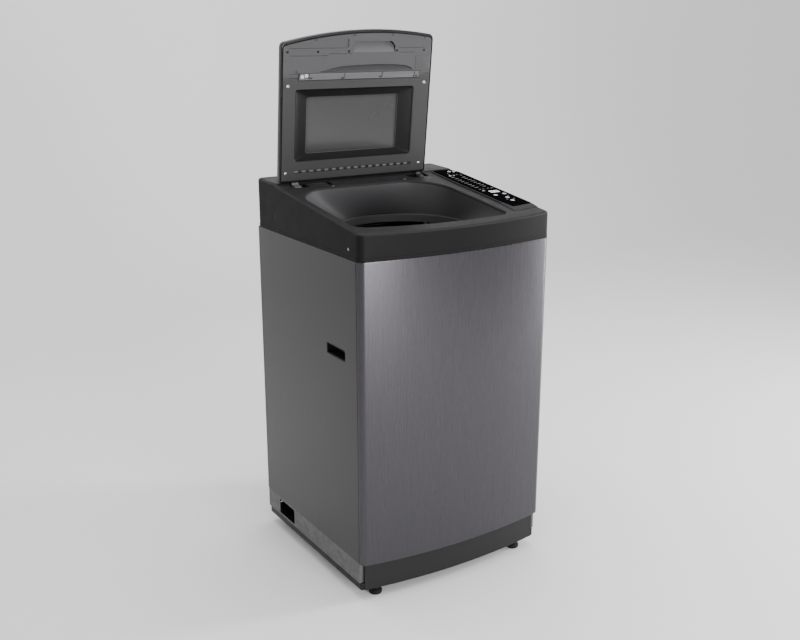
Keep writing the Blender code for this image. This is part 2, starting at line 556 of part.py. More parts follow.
# Gearbox housing, motor and belt under the carrier.
add("gearbox_housing", lathe([(0.0090, 0.2500), (0.0500, 0.2500), (0.0620, 0.2620), (0.0620, 0.3300), (0.0300, 0.3500), (0.0300, 0.3810),
                              (0.0180, 0.3810), (0.0180, 0.3000), (0.0090, 0.3000)], 20), (0.45, 0.45, 0.46), 0.45, 0.9, drum_axis)
add("motor_housing", lathe([(0.0066, 0.2450), (0.0300, 0.2450), (0.0550, 0.2580), (0.0550, 0.3500), (0.0300, 0.3640), (0.0, 0.3640),
                            (0.0, 0.3560), (0.0066, 0.3560)], 18, closed=True), (0.35, 0.35, 0.36), 0.5, 0.8, drum_axis, (MOTOR_X, 0.0, 0.0))
# Belt: a flat loop round both pulleys.
belt_clear = 0.0010
belt_t = 0.0030


def belt_loop(extra):
    r1, r2 = PULLEY_R + extra, MOTOR_PULLEY_R + extra
    beta = math.asin((r1 - r2) / MOTOR_X)
    pts = []
    m = 24
    for i in range(m + 1):
        a = math.pi / 2 - beta + (math.pi + 2 * beta) * i / m
        pts.append((r1 * math.cos(a), r1 * math.sin(a)))
    m = 10
    for i in range(m + 1):
        a = -(math.pi / 2 - beta) + (math.pi - 2 * beta) * i / m
        pts.append((MOTOR_X + r2 * math.cos(a), r2 * math.sin(a)))
    return pts


zb0, zb1 = PULLEY_Z0 + 0.0030, PULLEY_Z1 - 0.0030
bo, bi = belt_loop(belt_clear + belt_t), belt_loop(belt_clear)
add("drive_belt", loft([[(p[0], p[1], zb0) for p in bo], [(p[0], p[1], zb1) for p in bo], [(p[0], p[1], zb1) for p in bi], [(p[0], p[1], zb0) for p in bi]], closed=True),
    (0.02, 0.02, 0.02), 0.8, 0.0, drum_axis)
# Drain pump hung at the front left of the tub bottom.
add("drain_pump", lathe([(0.0, 0.3150), (0.0300, 0.3150), (0.0340, 0.3200), (0.0340, 0.3600), (0.0200, 0.3680), (0.0200, 0.3840), (0.0, 0.3840)], 20, (-0.0900, -0.1150), closed=False),
    (0.12, 0.12, 0.13), 0.5, 0.0, drum_axis)

# =================================================================== BASKET
# Steel basket wall, moulded bottom, balance ring, hub with hollow shaft.
add("wash_basket", lathe([(BASKET_R, 0.4300), (BASKET_R, 0.7880), (BASKET_R - 0.0015, 0.7880), (BASKET_R - 0.0015, 0.4300)], N), (0.62, 0.62, 0.63), 0.28, 1.0, drum_axis)
add("basket_base", lathe([(0.0350, 0.4200), (0.1200, 0.4200), (BASKET_R - 0.0020, 0.4320), (BASKET_R - 0.0020, 0.4700), (BASKET_R - 0.0040, 0.4700),
                          (0.2000, 0.4400), (0.1200, 0.4300), (0.0350, 0.4300)], N), (0.20, 0.21, 0.22), 0.5, 0.0, drum_axis)
add("balance_ring", lathe([(BASKET_R + 0.0040, 0.7884), (BASKET_R + 0.0040, 0.8300), (0.2000, 0.8320), (0.1920, 0.8240), (0.1960, 0.7960), (0.2100, 0.7884)], N),
    (0.15, 0.15, 0.16), 0.4, 0.0, drum_axis)
add("basket_hub", lathe([(0.0110, 0.3040), (0.0165, 0.3040), (0.0165, 0.4100), (0.1100, 0.4130), (0.1100, 0.4190), (0.0345, 0.4190), (0.0345, 0.4290), (0.0110, 0.4290)], 24),
    (0.50, 0.50, 0.51), 0.35, 1.0, drum_axis)
# Lint filter cassette on the basket wall, at the back.
add("lint_filter", prism([(-0.0300, 0.2040), (0.0300, 0.2040), (0.0240, 0.2240), (-0.0240, 0.2240)], 0.5600, 0.7400), (0.75, 0.76, 0.78), 0.4, 0.0, drum_axis)

# ================================================================= PULSATOR
# A disc with four vanes whose height follows the angle, on the inner shaft.
PR = 0.165


def vane(r, a):
    w = max(0.0, math.cos(2 * a)) ** 6
    fade = max(0.0, min(1.0, (r - 0.030) / 0.030)) * max(0.0, min(1.0, (PR - 0.008 - r) / 0.030))
    return 0.016 * w * fade


bm = bmesh.new()
m = 40
rows = []
for r in (PR, 0.150, 0.120, 0.090, 0.060, 0.035):
    row = []
    for i in range(m):
        a = 2 * math.pi * i / m
        base = 0.4560 + 0.0040 * (1 - r / PR)
        row.append(bm.verts.new((r * math.cos(a), r * math.sin(a), base + vane(r, a))))
    rows.append(row)
top_v = bm.verts.new((0.0, 0.0, 0.4680))
under = [[bm.verts.new((r * math.cos(2 * math.pi * i / m), r * math.sin(2 * math.pi * i / m), z)) for i in range(m)]
         for r, z in ((PR, 0.4500), (0.0200, 0.4480))]
bot_v = bm.verts.new((0.0, 0.0, 0.4480))
chain = [under[1], under[0]] + rows
for a_, b_ in zip(chain, chain[1:]):
    for i in range(m):
        j = (i + 1) % m
        bm.faces.new((a_[i], a_[j], b_[j], b_[i]))
for i in range(m):
    j = (i + 1) % m
    bm.faces.new((rows[-1][i], rows[-1][j], top_v))
    bm.faces.new((under[1][j], under[1][i], bot_v))
add("pulsator", bm, (0.30, 0.31, 0.33), 0.35, 0.0, drum_axis)
add("pulsator_shaft", lathe([(0.0, 0.2330), (0.0080, 0.2330), (0.0080, 0.4476), (0.0, 0.4476)], 20, closed=False), (0.6, 0.6, 0.6), 0.25, 1.0, drum_axis)
add("drive_pulley", lathe([(0.0, PULLEY_Z0), (PULLEY_R + 0.0040, PULLEY_Z0), (PULLEY_R + 0.0040, PULLEY_Z0 + 0.0020), (PULLEY_R, PULLEY_Z0 + 0.0024),
                           (PULLEY_R, PULLEY_Z1 - 0.0024), (PULLEY_R + 0.0040, PULLEY_Z1 - 0.0020), (PULLEY_R + 0.0040, PULLEY_Z1), (0.0600, PULLEY_Z1),
                           (0.0560, PULLEY_Z1 - 0.0080), (0.0220, PULLEY_Z1 - 0.0080), (0.0180, PULLEY_Z1), (0.0, PULLEY_Z1)], 28, closed=False),
    (0.4, 0.4, 0.41), 0.4, 1.0, drum_axis)
motor_axis = empty("motor_axis", (MOTOR_X, 0.0, 0.0), drum_axis)
add("motor_rotor", lathe([(0.0, PULLEY_Z0), (MOTOR_PULLEY_R + 0.0030, PULLEY_Z0), (MOTOR_PULLEY_R + 0.0030, PULLEY_Z0 + 0.0020), (MOTOR_PULLEY_R, PULLEY_Z0 + 0.0024),
                           (MOTOR_PULLEY_R, PULLEY_Z1 - 0.0024), (MOTOR_PULLEY_R + 0.0030, PULLEY_Z1 - 0.0020), (MOTOR_PULLEY_R + 0.0030, PULLEY_Z1), (0.0060, PULLEY_Z1),
                           (0.0060, 0.3550), (0.0, 0.3550)], 20, closed=False), (0.5, 0.5, 0.51), 0.35, 1.0, motor_axis)
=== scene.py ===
import json
import math

import bpy
import bmesh
from mathutils import Matrix, Vector
from mathutils.geometry import delaunay_2d_cdt

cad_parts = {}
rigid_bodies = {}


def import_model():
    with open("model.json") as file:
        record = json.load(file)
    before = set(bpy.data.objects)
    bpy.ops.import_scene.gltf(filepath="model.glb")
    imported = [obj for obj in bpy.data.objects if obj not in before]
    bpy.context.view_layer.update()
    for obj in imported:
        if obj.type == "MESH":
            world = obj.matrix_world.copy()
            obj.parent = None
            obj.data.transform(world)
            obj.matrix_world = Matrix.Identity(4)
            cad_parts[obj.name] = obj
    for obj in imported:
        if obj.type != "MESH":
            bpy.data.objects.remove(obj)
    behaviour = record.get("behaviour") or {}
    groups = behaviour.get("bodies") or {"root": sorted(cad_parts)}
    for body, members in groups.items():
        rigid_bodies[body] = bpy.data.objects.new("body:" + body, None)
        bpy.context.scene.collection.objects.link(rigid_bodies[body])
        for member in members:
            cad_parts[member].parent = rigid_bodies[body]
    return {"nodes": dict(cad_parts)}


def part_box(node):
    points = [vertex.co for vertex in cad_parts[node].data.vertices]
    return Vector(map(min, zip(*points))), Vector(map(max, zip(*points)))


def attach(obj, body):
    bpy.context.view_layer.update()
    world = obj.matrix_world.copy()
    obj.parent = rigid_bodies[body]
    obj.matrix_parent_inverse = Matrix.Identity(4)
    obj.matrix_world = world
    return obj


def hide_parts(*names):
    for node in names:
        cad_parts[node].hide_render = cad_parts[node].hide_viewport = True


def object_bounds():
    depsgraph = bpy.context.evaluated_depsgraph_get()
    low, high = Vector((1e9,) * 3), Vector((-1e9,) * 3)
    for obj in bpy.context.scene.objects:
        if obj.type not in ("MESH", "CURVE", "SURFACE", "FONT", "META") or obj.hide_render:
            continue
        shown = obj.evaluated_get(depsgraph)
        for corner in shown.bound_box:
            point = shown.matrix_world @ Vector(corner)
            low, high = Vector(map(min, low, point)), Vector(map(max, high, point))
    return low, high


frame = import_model()
CAD_LO, CAD_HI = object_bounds()
NODES = frame["nodes"]
for scene_object in list(bpy.data.objects):
    if scene_object.type in {"LIGHT", "CAMERA"}:
        bpy.data.objects.remove(scene_object, do_unlink=True)

# --------------------------------------------------------------- dimensions
# y below is measured from the cabinet's front corners; SY moves it to the row frame.
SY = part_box("left_side_panel")[1].y - 0.5384
HALF_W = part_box("left_side_panel")[0].x * -1.0
Y_BACK = 0.5384
BOW_APEX, BOW_K = -0.0285, 0.350
Z_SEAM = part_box("top_cover")[0].z
Z_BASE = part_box("front_panel")[0].z
DECK_Y, DECK_Z, SLOPE = 0.425, 0.996, 0.129
PLATEAU_Z, PLATEAU_RISE = 1.0005, 0.0040
TUB_Y = 0.262
LID_Y, LID_Z = 0.420, 1.0012
LEAN = math.radians(6.2)
LID_X0, LID_X1 = -0.270, 0.179
LID_TIP, LID_TIP_K = 0.3838, 0.44
LID_T = 0.020
HINGE_Y, HINGE_Z = 0.408, 0.9808


# ================================================================ materials
def new_material(name):
    m = bpy.data.materials.new(name)
    m.use_nodes = True
    nt = m.node_tree
    bsdf = nt.nodes["Principled BSDF"]
    return m, nt, bsdf


def mapped(nt, scale=(1, 1, 1)):
    tc = nt.nodes.new("ShaderNodeTexCoord")
    mp = nt.nodes.new("ShaderNodeMapping")
    mp.inputs["Scale"].default_value = scale
    nt.links.new(tc.outputs["Object"], mp.inputs["Vector"])
    return mp.outputs["Vector"]


def noise(nt, vec, scale, detail=2.0, rough=0.5):
    n = nt.nodes.new("ShaderNodeTexNoise")
    n.inputs["Scale"].default_value = scale
    n.inputs["Detail"].default_value = detail
    n.inputs["Roughness"].default_value = rough
    nt.links.new(vec, n.inputs["Vector"])
    return n.outputs["Fac"]


def remap(nt, src, a, b, lo=0.3, hi=0.7):
    r = nt.nodes.new("ShaderNodeMapRange")
    r.inputs["From Min"].default_value = lo
    r.inputs["From Max"].default_value = hi
    r.inputs["To Min"].default_value = a
    r.inputs["To Max"].default_value = b
    nt.links.new(src, r.inputs["Value"])
    return r.outputs["Result"]


def tint(nt, fac, c0, c1):
    mx = nt.nodes.new("ShaderNodeMix")
    mx.data_type = "RGBA"
    mx.inputs["A"].default_value = (*c0, 1)
    mx.inputs["B"].default_value = (*c1, 1)
    nt.links.new(fac, mx.inputs["Factor"])
    return mx.outputs["Result"]


def bump(nt, bsdf, height, strength, distance):
    b = nt.nodes.new("ShaderNodeBump")
    b.inputs["Strength"].default_value = strength
    b.inputs["Distance"].default_value = distance
    nt.links.new(height, b.inputs["Height"])
    nt.links.new(b.outputs["Normal"], bsdf.inputs["Normal"])


def shade(c, k):
    return tuple(max(0.0, min(1.0, v * k)) for v in c)


def plastic(name, base, rough=0.45, grain=1400, strength=0.12, coat=0.0, vary=0.10, spec=0.28):
    """Moulded plastic: fine grain, faint colour drift and handling marks in the gloss."""
    m, nt, b = new_material(name)
    v = mapped(nt)
    big = noise(nt, v, 7.0, 4.0, 0.6)
    fine = noise(nt, v, grain, 2.0, 0.6)
    nt.links.new(tint(nt, big, shade(base, 1 - vary), shade(base, 1 + vary)), b.inputs["Base Color"])
    nt.links.new(remap(nt, noise(nt, v, 22.0, 5.0, 0.65), rough - 0.05, rough + 0.07), b.inputs["Roughness"])
    b.inputs["Coat Weight"].default_value = coat
    b.inputs["Coat Roughness"].default_value = 0.15
    b.inputs["Specular IOR Level"].default_value = spec
    bump(nt, b, fine, strength, 0.00012)
    return m


def painted(name, base, metallic, rough, streak=0.05):
    """Coated steel: metallic flake, faint vertical rolling lines, orange peel."""
    m, nt, b = new_material(name)
    v = mapped(nt)
    vs = mapped(nt, (1.0, 1.0, 0.012))
    flake = noise(nt, v, 2600.0, 1.0, 0.5)
    lines = noise(nt, vs, 900.0, 3.0, 0.6)
    big = noise(nt, v, 3.0, 3.0, 0.5)
    mixn = nt.nodes.new("ShaderNodeMath")
    mixn.operation = "MULTIPLY_ADD"
    nt.links.new(flake, mixn.inputs[0])
    mixn.inputs[1].default_value = 0.45
    nt.links.new(lines, mixn.inputs[2])
    nt.links.new(tint(nt, remap(nt, mixn.outputs[0], 0.0, 1.0, 0.45, 1.0), shade(base, 0.93), shade(base, 1.07)), b.inputs["Base Color"])
    nt.links.new(remap(nt, lines, rough - streak, rough + streak, 0.3, 0.7), b.inputs["Roughness"])
    b.inputs["Metallic"].default_value = metallic
    b.inputs["Coat Weight"].default_value = 0.12
    b.inputs["Coat Roughness"].default_value = 0.22
    peel = noise(nt, v, 420.0, 2.0, 0.5)
    add = nt.nodes.new("ShaderNodeMath")
    add.operation = "MULTIPLY_ADD"
    nt.links.new(big, add.inputs[0])
    add.inputs[1].default_value = 2.0
    nt.links.new(peel, add.inputs[2])
    bump(nt, b, add.outputs[0], 0.05, 0.0002)
    return m


def galvanised(name, base, rough=0.42):
    """Zinc plated sheet with its spangle."""
    m, nt, b = new_material(name)
    v = mapped(nt)
    vo = nt.nodes.new("ShaderNodeTexVoronoi")
    vo.inputs["Scale"].default_value = 95.0
    nt.links.new(v, vo.inputs["Vector"])
    sep = nt.nodes.new("ShaderNodeSeparateColor")
    nt.links.new(vo.outputs["Color"], sep.inputs["Color"])
    nt.links.new(tint(nt, sep.outputs["Red"], shade(base, 0.86), shade(base, 1.12)), b.inputs["Base Color"])
    nt.links.new(remap(nt, sep.outputs["Green"], rough - 0.06, rough + 0.10, 0.0, 1.0), b.inputs["Roughness"])
    b.inputs["Metallic"].default_value = 0.75
    bump(nt, b, noise(nt, v, 600.0, 2.0), 0.06, 0.0002)
    return m


def steel(name, base, rough=0.28, axis="round"):
    """Brushed stainless steel."""
    m, nt, b = new_material(name)
    v = mapped(nt, (0.02, 0.02, 1.0) if axis == "round" else (1.0, 1.0, 0.02))
    lines = noise(nt, v, 1500.0, 2.0, 0.6)
    nt.links.new(tint(nt, lines, shade(base, 0.9), shade(base, 1.08)), b.inputs["Base Color"])
    nt.links.new(remap(nt, lines, rough - 0.06, rough + 0.08), b.inputs["Roughness"])
    b.inputs["Metallic"].default_value = 1.0
    b.inputs["Anisotropic"].default_value = 0.4
    bump(nt, b, lines, 0.05, 0.0001)
    return m


CABINET_C = (0.046, 0.0435, 0.0485)
COVER_C = (0.0150, 0.0144, 0.0152)
M = {}
# painted shade: the side sheets take the cabinet colour at half its value, darker because the sides are turned away
# from the light
M["cabinet"] = painted("cabinet_paint", shade(CABINET_C, 0.50), 0.72, 0.36)
M["front"] = painted("front_paint", (0.054, 0.051, 0.0575), 0.85, 0.27, 0.03)
# painted light and shade: the top cover is one plastic; its upward faces take a lighter copy (painted light) and its
# side walls a darker copy (painted shade)
M["cover"] = plastic("cover_plastic", shade(COVER_C, 0.64), 0.44, 1500, 0.10, 0.0, 0.05, 0.05)
M["deck"] = plastic("cover_plastic_painted_lit_top", shade(COVER_C, 1.45), 0.44, 1500, 0.10, 0.0, 0.05, 0.10)
# painted light: the funnel is the same cover plastic, brightened to stand in for light falling into the opening
M["funnel"] = plastic("cover_funnel_painted_light", (0.060, 0.0585, 0.0615), 0.48, 1500, 0.10, 0.0, 0.05, 0.2)
M["cover_edge"] = plastic("housing_plastic", (0.0085, 0.0082, 0.0088), 0.40, 1500, 0.08, 0.0, 0.05, 0.05)
M["lid_inner"] = plastic("lid_inner_plastic", (0.052, 0.0505, 0.0535), 0.50, 1300, 0.16, 0.0, 0.06)


def graded(m, axis, lo, hi, k_lo, k_hi):
    """Shade a material along one axis of the piece, from k_lo at lo to k_hi at hi."""
    nt = m.node_tree
    bs = nt.nodes["Principled BSDF"]
    src = bs.inputs["Base Color"].links[0].from_socket
    tc = nt.nodes.new("ShaderNodeTexCoord")
    sep = nt.nodes.new("ShaderNodeSeparateXYZ")
    nt.links.new(tc.outputs["Object"], sep.inputs["Vector"])
    r = nt.nodes.new("ShaderNodeMapRange")
    r.interpolation_type = "SMOOTHSTEP"
    r.inputs["From Min"].default_value = lo
    r.inputs["From Max"].default_value = hi
    r.inputs["To Min"].default_value = k_lo
    r.inputs["To Max"].default_value = k_hi
    nt.links.new(sep.outputs[axis], r.inputs["Value"])
    sc = nt.nodes.new("ShaderNodeVectorMath")
    sc.operation = "SCALE"
    nt.links.new(src, sc.inputs[0])
    nt.links.new(r.outputs["Result"], sc.inputs["Scale"])
    nt.links.new(sc.outputs["Vector"], bs.inputs["Base Color"])


# painted shade: the lid's inner face is half as bright below a band about 0.26 m up the lid, standing in for how the
# light falls across it
graded(M["lid_inner"], "Z", LID_Z + 0.258, LID_Z + 0.274, 0.50, 1.0)
M["lid_inner_dark"] = plastic("lid_inner_shade", (0.105, 0.102, 0.107), 0.52, 1300, 0.16, 0.0, 0.06)
# painted shade: darker plastic for the floor of the lid's scoop recess
M["ramp_shade"] = plastic("lid_ramp_painted_shade", (0.040, 0.039, 0.041), 0.52, 1300, 0.14, 0.0, 0.05, 0.2)
# lighter plastic for the vents and the window's retaining strip; also painted light on the finger pocket's floor and
# the left hinge arm
M["lid_light"] = plastic("lid_pale_plastic_and_painted_light", (0.088, 0.086, 0.090), 0.46, 1300, 0.14, 0.0, 0.05)
M["tub"] = plastic("tub_plastic", (0.19, 0.195, 0.205), 0.50, 1200, 0.12, 0.0, 0.06)
M["ring_light"] = plastic("balance_ring_plastic", (0.16, 0.162, 0.17), 0.30, 1500, 0.06, 0.2, 0.06)
M["digits"] = plastic("display_segments", (0.05, 0.052, 0.056), 0.3, 2500, 0.02, 0.0, 0.25)
# painted shade: darker copy of the lid's pale plastic for the right hinge arm
M["light_dark"] = plastic("hinge_arm_painted_shade", (0.040, 0.039, 0.041), 0.42, 1300, 0.12, 0.0, 0.06)
# painted light: the panel housing and damper cap are cover plastic at the lit deck's lighter value
M["cover_light"] = plastic("cover_cap_painted_lit", (0.022, 0.0213, 0.0224), 0.42, 1500, 0.10, 0.0, 0.05, 0.12)
# near-black for the clips and hooks; also painted shadow on the finger pocket's walls
M["lid_dark"] = plastic("lid_clip_plastic", (0.006, 0.0058, 0.0062), 0.50, 1300, 0.14, 0.0, 0.10)
M["bezel"] = plastic("window_border", (0.0072, 0.0069, 0.0076), 0.40, 1500, 0.05, 0.0, 0.06, 0.08)
M["lid_outer"] = plastic("lid_outer_plastic", (0.0105, 0.0100, 0.0108), 0.30, 1800, 0.05, 0.2, 0.05)
M["black"] = plastic("black_plastic", (0.0030, 0.0030, 0.0033), 0.50, 1200, 0.18, 0.0, 0.15)
M["kick"] = plastic("kick_plastic", (0.0052, 0.0051, 0.0055), 0.46, 1200, 0.15, 0.0, 0.10)
M["rubber"] = plastic("foot_rubber", (0.0040, 0.0040, 0.0042), 0.68, 900, 0.25, 0.0, 0.15)
M["gloss"] = plastic("panel_gloss", (0.0028, 0.0028, 0.0032), 0.34, 3000, 0.02, 0.0, 0.2, 0.0)
M["marks"] = plastic("printed_marks", (0.34, 0.34, 0.35), 0.45, 2500, 0.02, 0.0, 0.25)
M["button"] = plastic("button_plastic", (0.52, 0.52, 0.53), 0.32, 2000, 0.04, 0.3, 0.08)
M["light"] = plastic("light_plastic", (0.46, 0.465, 0.48), 0.42, 1300, 0.10, 0.0, 0.05)
M["pulsator"] = plastic("pulsator_plastic", (0.22, 0.225, 0.24), 0.34, 1500, 0.08, 0.1, 0.06)
M["ring"] = plastic("ring_plastic", (0.10, 0.10, 0.107), 0.36, 1500, 0.08, 0.0, 0.06)
M["white"] = plastic("white_nylon", (0.62, 0.62, 0.60), 0.45, 1500, 0.06, 0.0, 0.05)
M["zinc"] = galvanised("zinc_steel", (0.105, 0.105, 0.107), 0.46)
M["zinc_b"] = galvanised("zinc_cover", (0.33, 0.33, 0.335), 0.50)
M["steel"] = steel("stainless_steel", (0.60, 0.60, 0.61))
M["screw"] = steel("screw_steel", (0.40, 0.40, 0.41), 0.34, "up")
M["alu"] = galvanised("cast_aluminium", (0.42, 0.42, 0.43), 0.50)

# smoked window: clear in the middle, with a dark border fading outwards
WIN = (-0.2306, 0.1275, 0.0460, 0.2370)      # outer edge of the dark border, in lid coordinates
GLS = (-0.1905, 0.0800, 0.0720, 0.2150)      # clear area


def window_material():
    m, nt, b = new_material("window_glass")
    tc = nt.nodes.new("ShaderNodeTexCoord")
    sep = nt.nodes.new("ShaderNodeSeparateXYZ")
    nt.links.new(tc.outputs["Object"], sep.inputs["Vector"])
    z0 = LID_Z
    # distance outside the clear area, in x and up the lid
    def math_node(op, a, c=None):
        n = nt.nodes.new("ShaderNodeMath")
        n.operation = op
        for i, val in enumerate((a, c)):
            if val is None:
                continue
            if isinstance(val, (int, float)):
                n.inputs[i].default_value = val
            else:
                nt.links.new(val, n.inputs[i])
        return n.outputs[0]
    x, z = sep.outputs["X"], sep.outputs["Z"]
    cx, hx = (GLS[0] + GLS[1]) / 2, (GLS[1] - GLS[0]) / 2
    t0, t1 = z0 + GLS[2] * math.cos(LEAN), z0 + GLS[3] * math.cos(LEAN)
    cz, hz = (t0 + t1) / 2, (t1 - t0) / 2
    dx = math_node("SUBTRACT", math_node("ABSOLUTE", math_node("SUBTRACT", x, cx)), hx - 0.014)
    dz = math_node("SUBTRACT", math_node("ABSOLUTE", math_node("SUBTRACT", z, cz)), hz - 0.012)
    dx = math_node("MAXIMUM", dx, 0.0)
    dz = math_node("MAXIMUM", dz, 0.0)
    d = math_node("SQRT", math_node("ADD", math_node("MULTIPLY", dx, dx), math_node("MULTIPLY", dz, dz)))
    r = nt.nodes.new("ShaderNodeMapRange")
    r.interpolation_type = "SMOOTHSTEP"
    r.inputs["From Min"].default_value = 0.002
    r.inputs["From Max"].default_value = 0.026
    nt.links.new(d, r.inputs["Value"])
    fac = r.outputs["Result"]
    cloud = noise(nt, mapped(nt), 9.0, 3.0)
    inner = tint(nt, cloud, (0.050, 0.0495, 0.051), (0.062, 0.0612, 0.063))
    mx = nt.nodes.new("ShaderNodeMix")
    mx.data_type = "RGBA"
    nt.links.new(fac, mx.inputs["Factor"])
    nt.links.new(inner, mx.inputs["A"])
    mx.inputs["B"].default_value = (0.0036, 0.0034, 0.0038, 1)
    nt.links.new(mx.outputs["Result"], b.inputs["Base Color"])
    tr = nt.nodes.new("ShaderNodeMapRange")
    tr.inputs["To Min"].default_value = 0.30
    tr.inputs["To Max"].default_value = 0.0
    nt.links.new(fac, tr.inputs["Value"])
    nt.links.new(tr.outputs["Result"], b.inputs["Transmission Weight"])
    b.inputs["Roughness"].default_value = 0.12
    b.inputs["IOR"].default_value = 1.5
    return m


M["window"] = window_material()


def display_material():
    m, nt, b = new_material("display_glass")
    v = mapped(nt)
    c = tint(nt, noise(nt, v, 300.0, 2.0), (0.62, 0.64, 0.66), (0.86, 0.88, 0.90))
    nt.links.new(c, b.inputs["Base Color"])
    nt.links.new(c, b.inputs["Emission Color"])
    b.inputs["Emission Strength"].default_value = 0.55
    b.inputs["Roughness"].default_value = 0.12
    return m


M["display"] = display_material()


# =================================================================== helpers
def finish_mesh(name, bm, mat, body, replaces=(), slot=None, smooth=32.0, bevel=None, weighted=False,
                recalc=True, shift=True, merge=False):
    if merge:
        bmesh.ops.remove_doubles(bm, verts=bm.verts, dist=1e-6)
    if recalc:
        bmesh.ops.recalc_face_normals(bm, faces=bm.faces)
    me = bpy.data.meshes.new(name)
    bm.to_mesh(me)
    bm.free()
    if shift:
        me.transform(Matrix.Translation((0.0, SY, 0.0)))
    me.shade_smooth()
    me.set_sharp_from_angle(angle=math.radians(smooth))
    o = bpy.data.objects.new(name, me)
    bpy.context.scene.collection.objects.link(o)
    me.materials.append(mat)
    if bevel:
        mod = o.modifiers.new("bevel", "BEVEL")
        mod.width = bevel
        mod.segments = 3
        mod.limit_method = "ANGLE"
        mod.angle_limit = math.radians(32)
        mod.harden_normals = False
        weighted = True
    if weighted:
        wn = o.modifiers.new("normals", "WEIGHTED_NORMAL")
        wn.keep_sharp = True
    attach(o, body)
    if replaces:
        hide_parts(*replaces)
    return o


def paint_faces(o, mat, test):
    """Give the faces whose centre and normal pass the test a second material."""
    o.data.materials.append(mat)
    k = len(o.data.materials) - 1
    for p in o.data.polygons:
        c = p.center
        if p.material_index == 0 and test(c.x, c.y - SY, c.z, p.normal):
            p.material_index = k


def skin(rings, closed=False, caps=(True, True), cyclic=True):
    bm = bmesh.new()
    vs = [[bm.verts.new(p) for p in ring] for ring in rings]
    n = len(rings[0])
    pairs = list(zip(vs, vs[1:])) + ([(vs[-1], vs[0])] if closed else [])
    for a, b in pairs:
        for i in range(n if cyclic else n - 1):
            j = (i + 1) % n
            bm.faces.new((a[i], a[j], b[j], b[i]))
    if not closed:
        if caps[0]:
            bm.faces.new(list(reversed(vs[0])))
        if caps[1]:
            bm.faces.new(vs[-1])
    return bm


def merge_into(bm, other):
    me = bpy.data.meshes.new("tmp")
    other.to_mesh(me)
    other.free()
    bm.from_mesh(me)
    bpy.data.meshes.remove(me)
    return bm


def lathe(profile, n=64, centre=(0.0, 0.0), axis="z", closed=True):
    cx, cy = centre
    bm = bmesh.new()
    rows = []
    for r, h in profile:
        k = 1 if r < 1e-9 else n
        row = []
        for i in range(k):
            a = 2 * math.pi * i / n
            u, v = cx + r * math.cos(a), cy + r * math.sin(a)
            row.append(bm.verts.new((u, v, h) if axis == "z" else ((u, h, v) if axis == "y" else (h, u, v))))
        rows.append(row)
    for a, b in list(zip(rows, rows[1:])) + ([(rows[-1], rows[0])] if closed else []):
        if len(a) == 1 and len(b) == 1:
            continue
        for i in range(n):
            j = (i + 1) % n
            if len(a) == 1:
                bm.faces.new((a[0], b[j], b[i]))
            elif len(b) == 1:
                bm.faces.new((a[i], a[j], b[0]))
            else:
                bm.faces.new((a[i], a[j], b[j], b[i]))
    return bm


def fillet(points, r, seg=4, closed=True):
    """Rounds the corners of an outline of (u, v) points."""
    out = []
    n = len(points)
    for i in range(n):
        p = Vector(points[i][:2])
        ri = points[i][2] if len(points[i]) > 2 else r
        if not closed and i in (0, n - 1):
            out.append((p.x, p.y))
            continue
        a = Vector(points[(i - 1) % n][:2]) - p
        b = Vector(points[(i + 1) % n][:2]) - p
        if ri < 1e-7 or a.length < 1e-9 or b.length < 1e-9:
            out.append((p.x, p.y))
            continue
        ang = a.angle(b)
        if ang > math.pi - 0.02:
            for k in range(seg + 1):
                w = 2.0 * k / seg - 1.0
                q = p + (b.normalized() if w > 0 else a.normalized()) * abs(w) * 0.0020
                out.append((q.x, q.y))
            continue
        d = min(ri / math.tan(ang / 2), a.length * 0.49, b.length * 0.49)
        rr = d * math.tan(ang / 2)
        a.normalize(), b.normalize()
        bis = (a + b).normalized()
        c = p + bis * (rr / math.sin(ang / 2))
        s, e = p + a * d - c, p + b * d - c
        a0 = math.atan2(s.y, s.x)
        da = math.atan2(s.x * e.y - s.y * e.x, s.dot(e))
        for k in range(seg + 1):
            t = a0 + da * k / seg
            out.append((c.x + rr * math.cos(t), c.y + rr * math.sin(t)))
    return out


def offset_loop(pts, d):
    """Moves a counter-clockwise loop outwards by d along its normals."""
    n = len(pts)
    out = []
    for i in range(n):
        a, p, b = Vector(pts[i - 1]), Vector(pts[i]), Vector(pts[(i + 1) % n])
        t1, t2 = (p - a), (b - p)
        if t1.length < 1e-9:
            t1 = t2
        if t2.length < 1e-9:
            t2 = t1
        t1.normalize(), t2.normalize()
        n1, n2 = Vector((t1.y, -t1.x)), Vector((t2.y, -t2.x))
        m = (n1 + n2)
        m = m / max(m.length_squared, 0.5) * 2.0 if m.length > 1e-6 else n1
        out.append((p.x + m.x * d, p.y + m.y * d))
    return out


def rrect(x0, x1, y0, y1, r, seg=5):
    rs = r if isinstance(r, (tuple, list)) else (r,) * 4
    return fillet([(x0, y0, rs[0]), (x1, y0, rs[1]), (x1, y1, rs[2]), (x0, y1, rs[3])], 0, seg)


def lid_point(x, t, n=0.0):
    """Lid coordinates (x, up the lid, out of its inner face) to the row frame."""
    s, c = math.sin(LEAN), math.cos(LEAN)
    return (x, LID_Y - t * s - n * c + SY, LID_Z + t * c - n * s)


def lid_pad(name, loop, n0, n1, mat, bevel=0.0008, seg=3, **kw):
    """A raised piece on the lid: an outline with a rounded top edge from n0 to n1."""
    rings = [[lid_point(p[0], p[1], n0) for p in loop]]
    for k in range(seg + 1):
        a = math.pi / 2 * k / seg
        inn = offset_loop(loop, -bevel * (1 - math.cos(a)))
        h = n1 - bevel * (1 - math.sin(a))
        rings.append([lid_point(p[0], p[1], h) for p in inn])
    bm = skin(rings)
    return finish_mesh(name, bm, mat, "lid", shift=False, smooth=40, **kw)


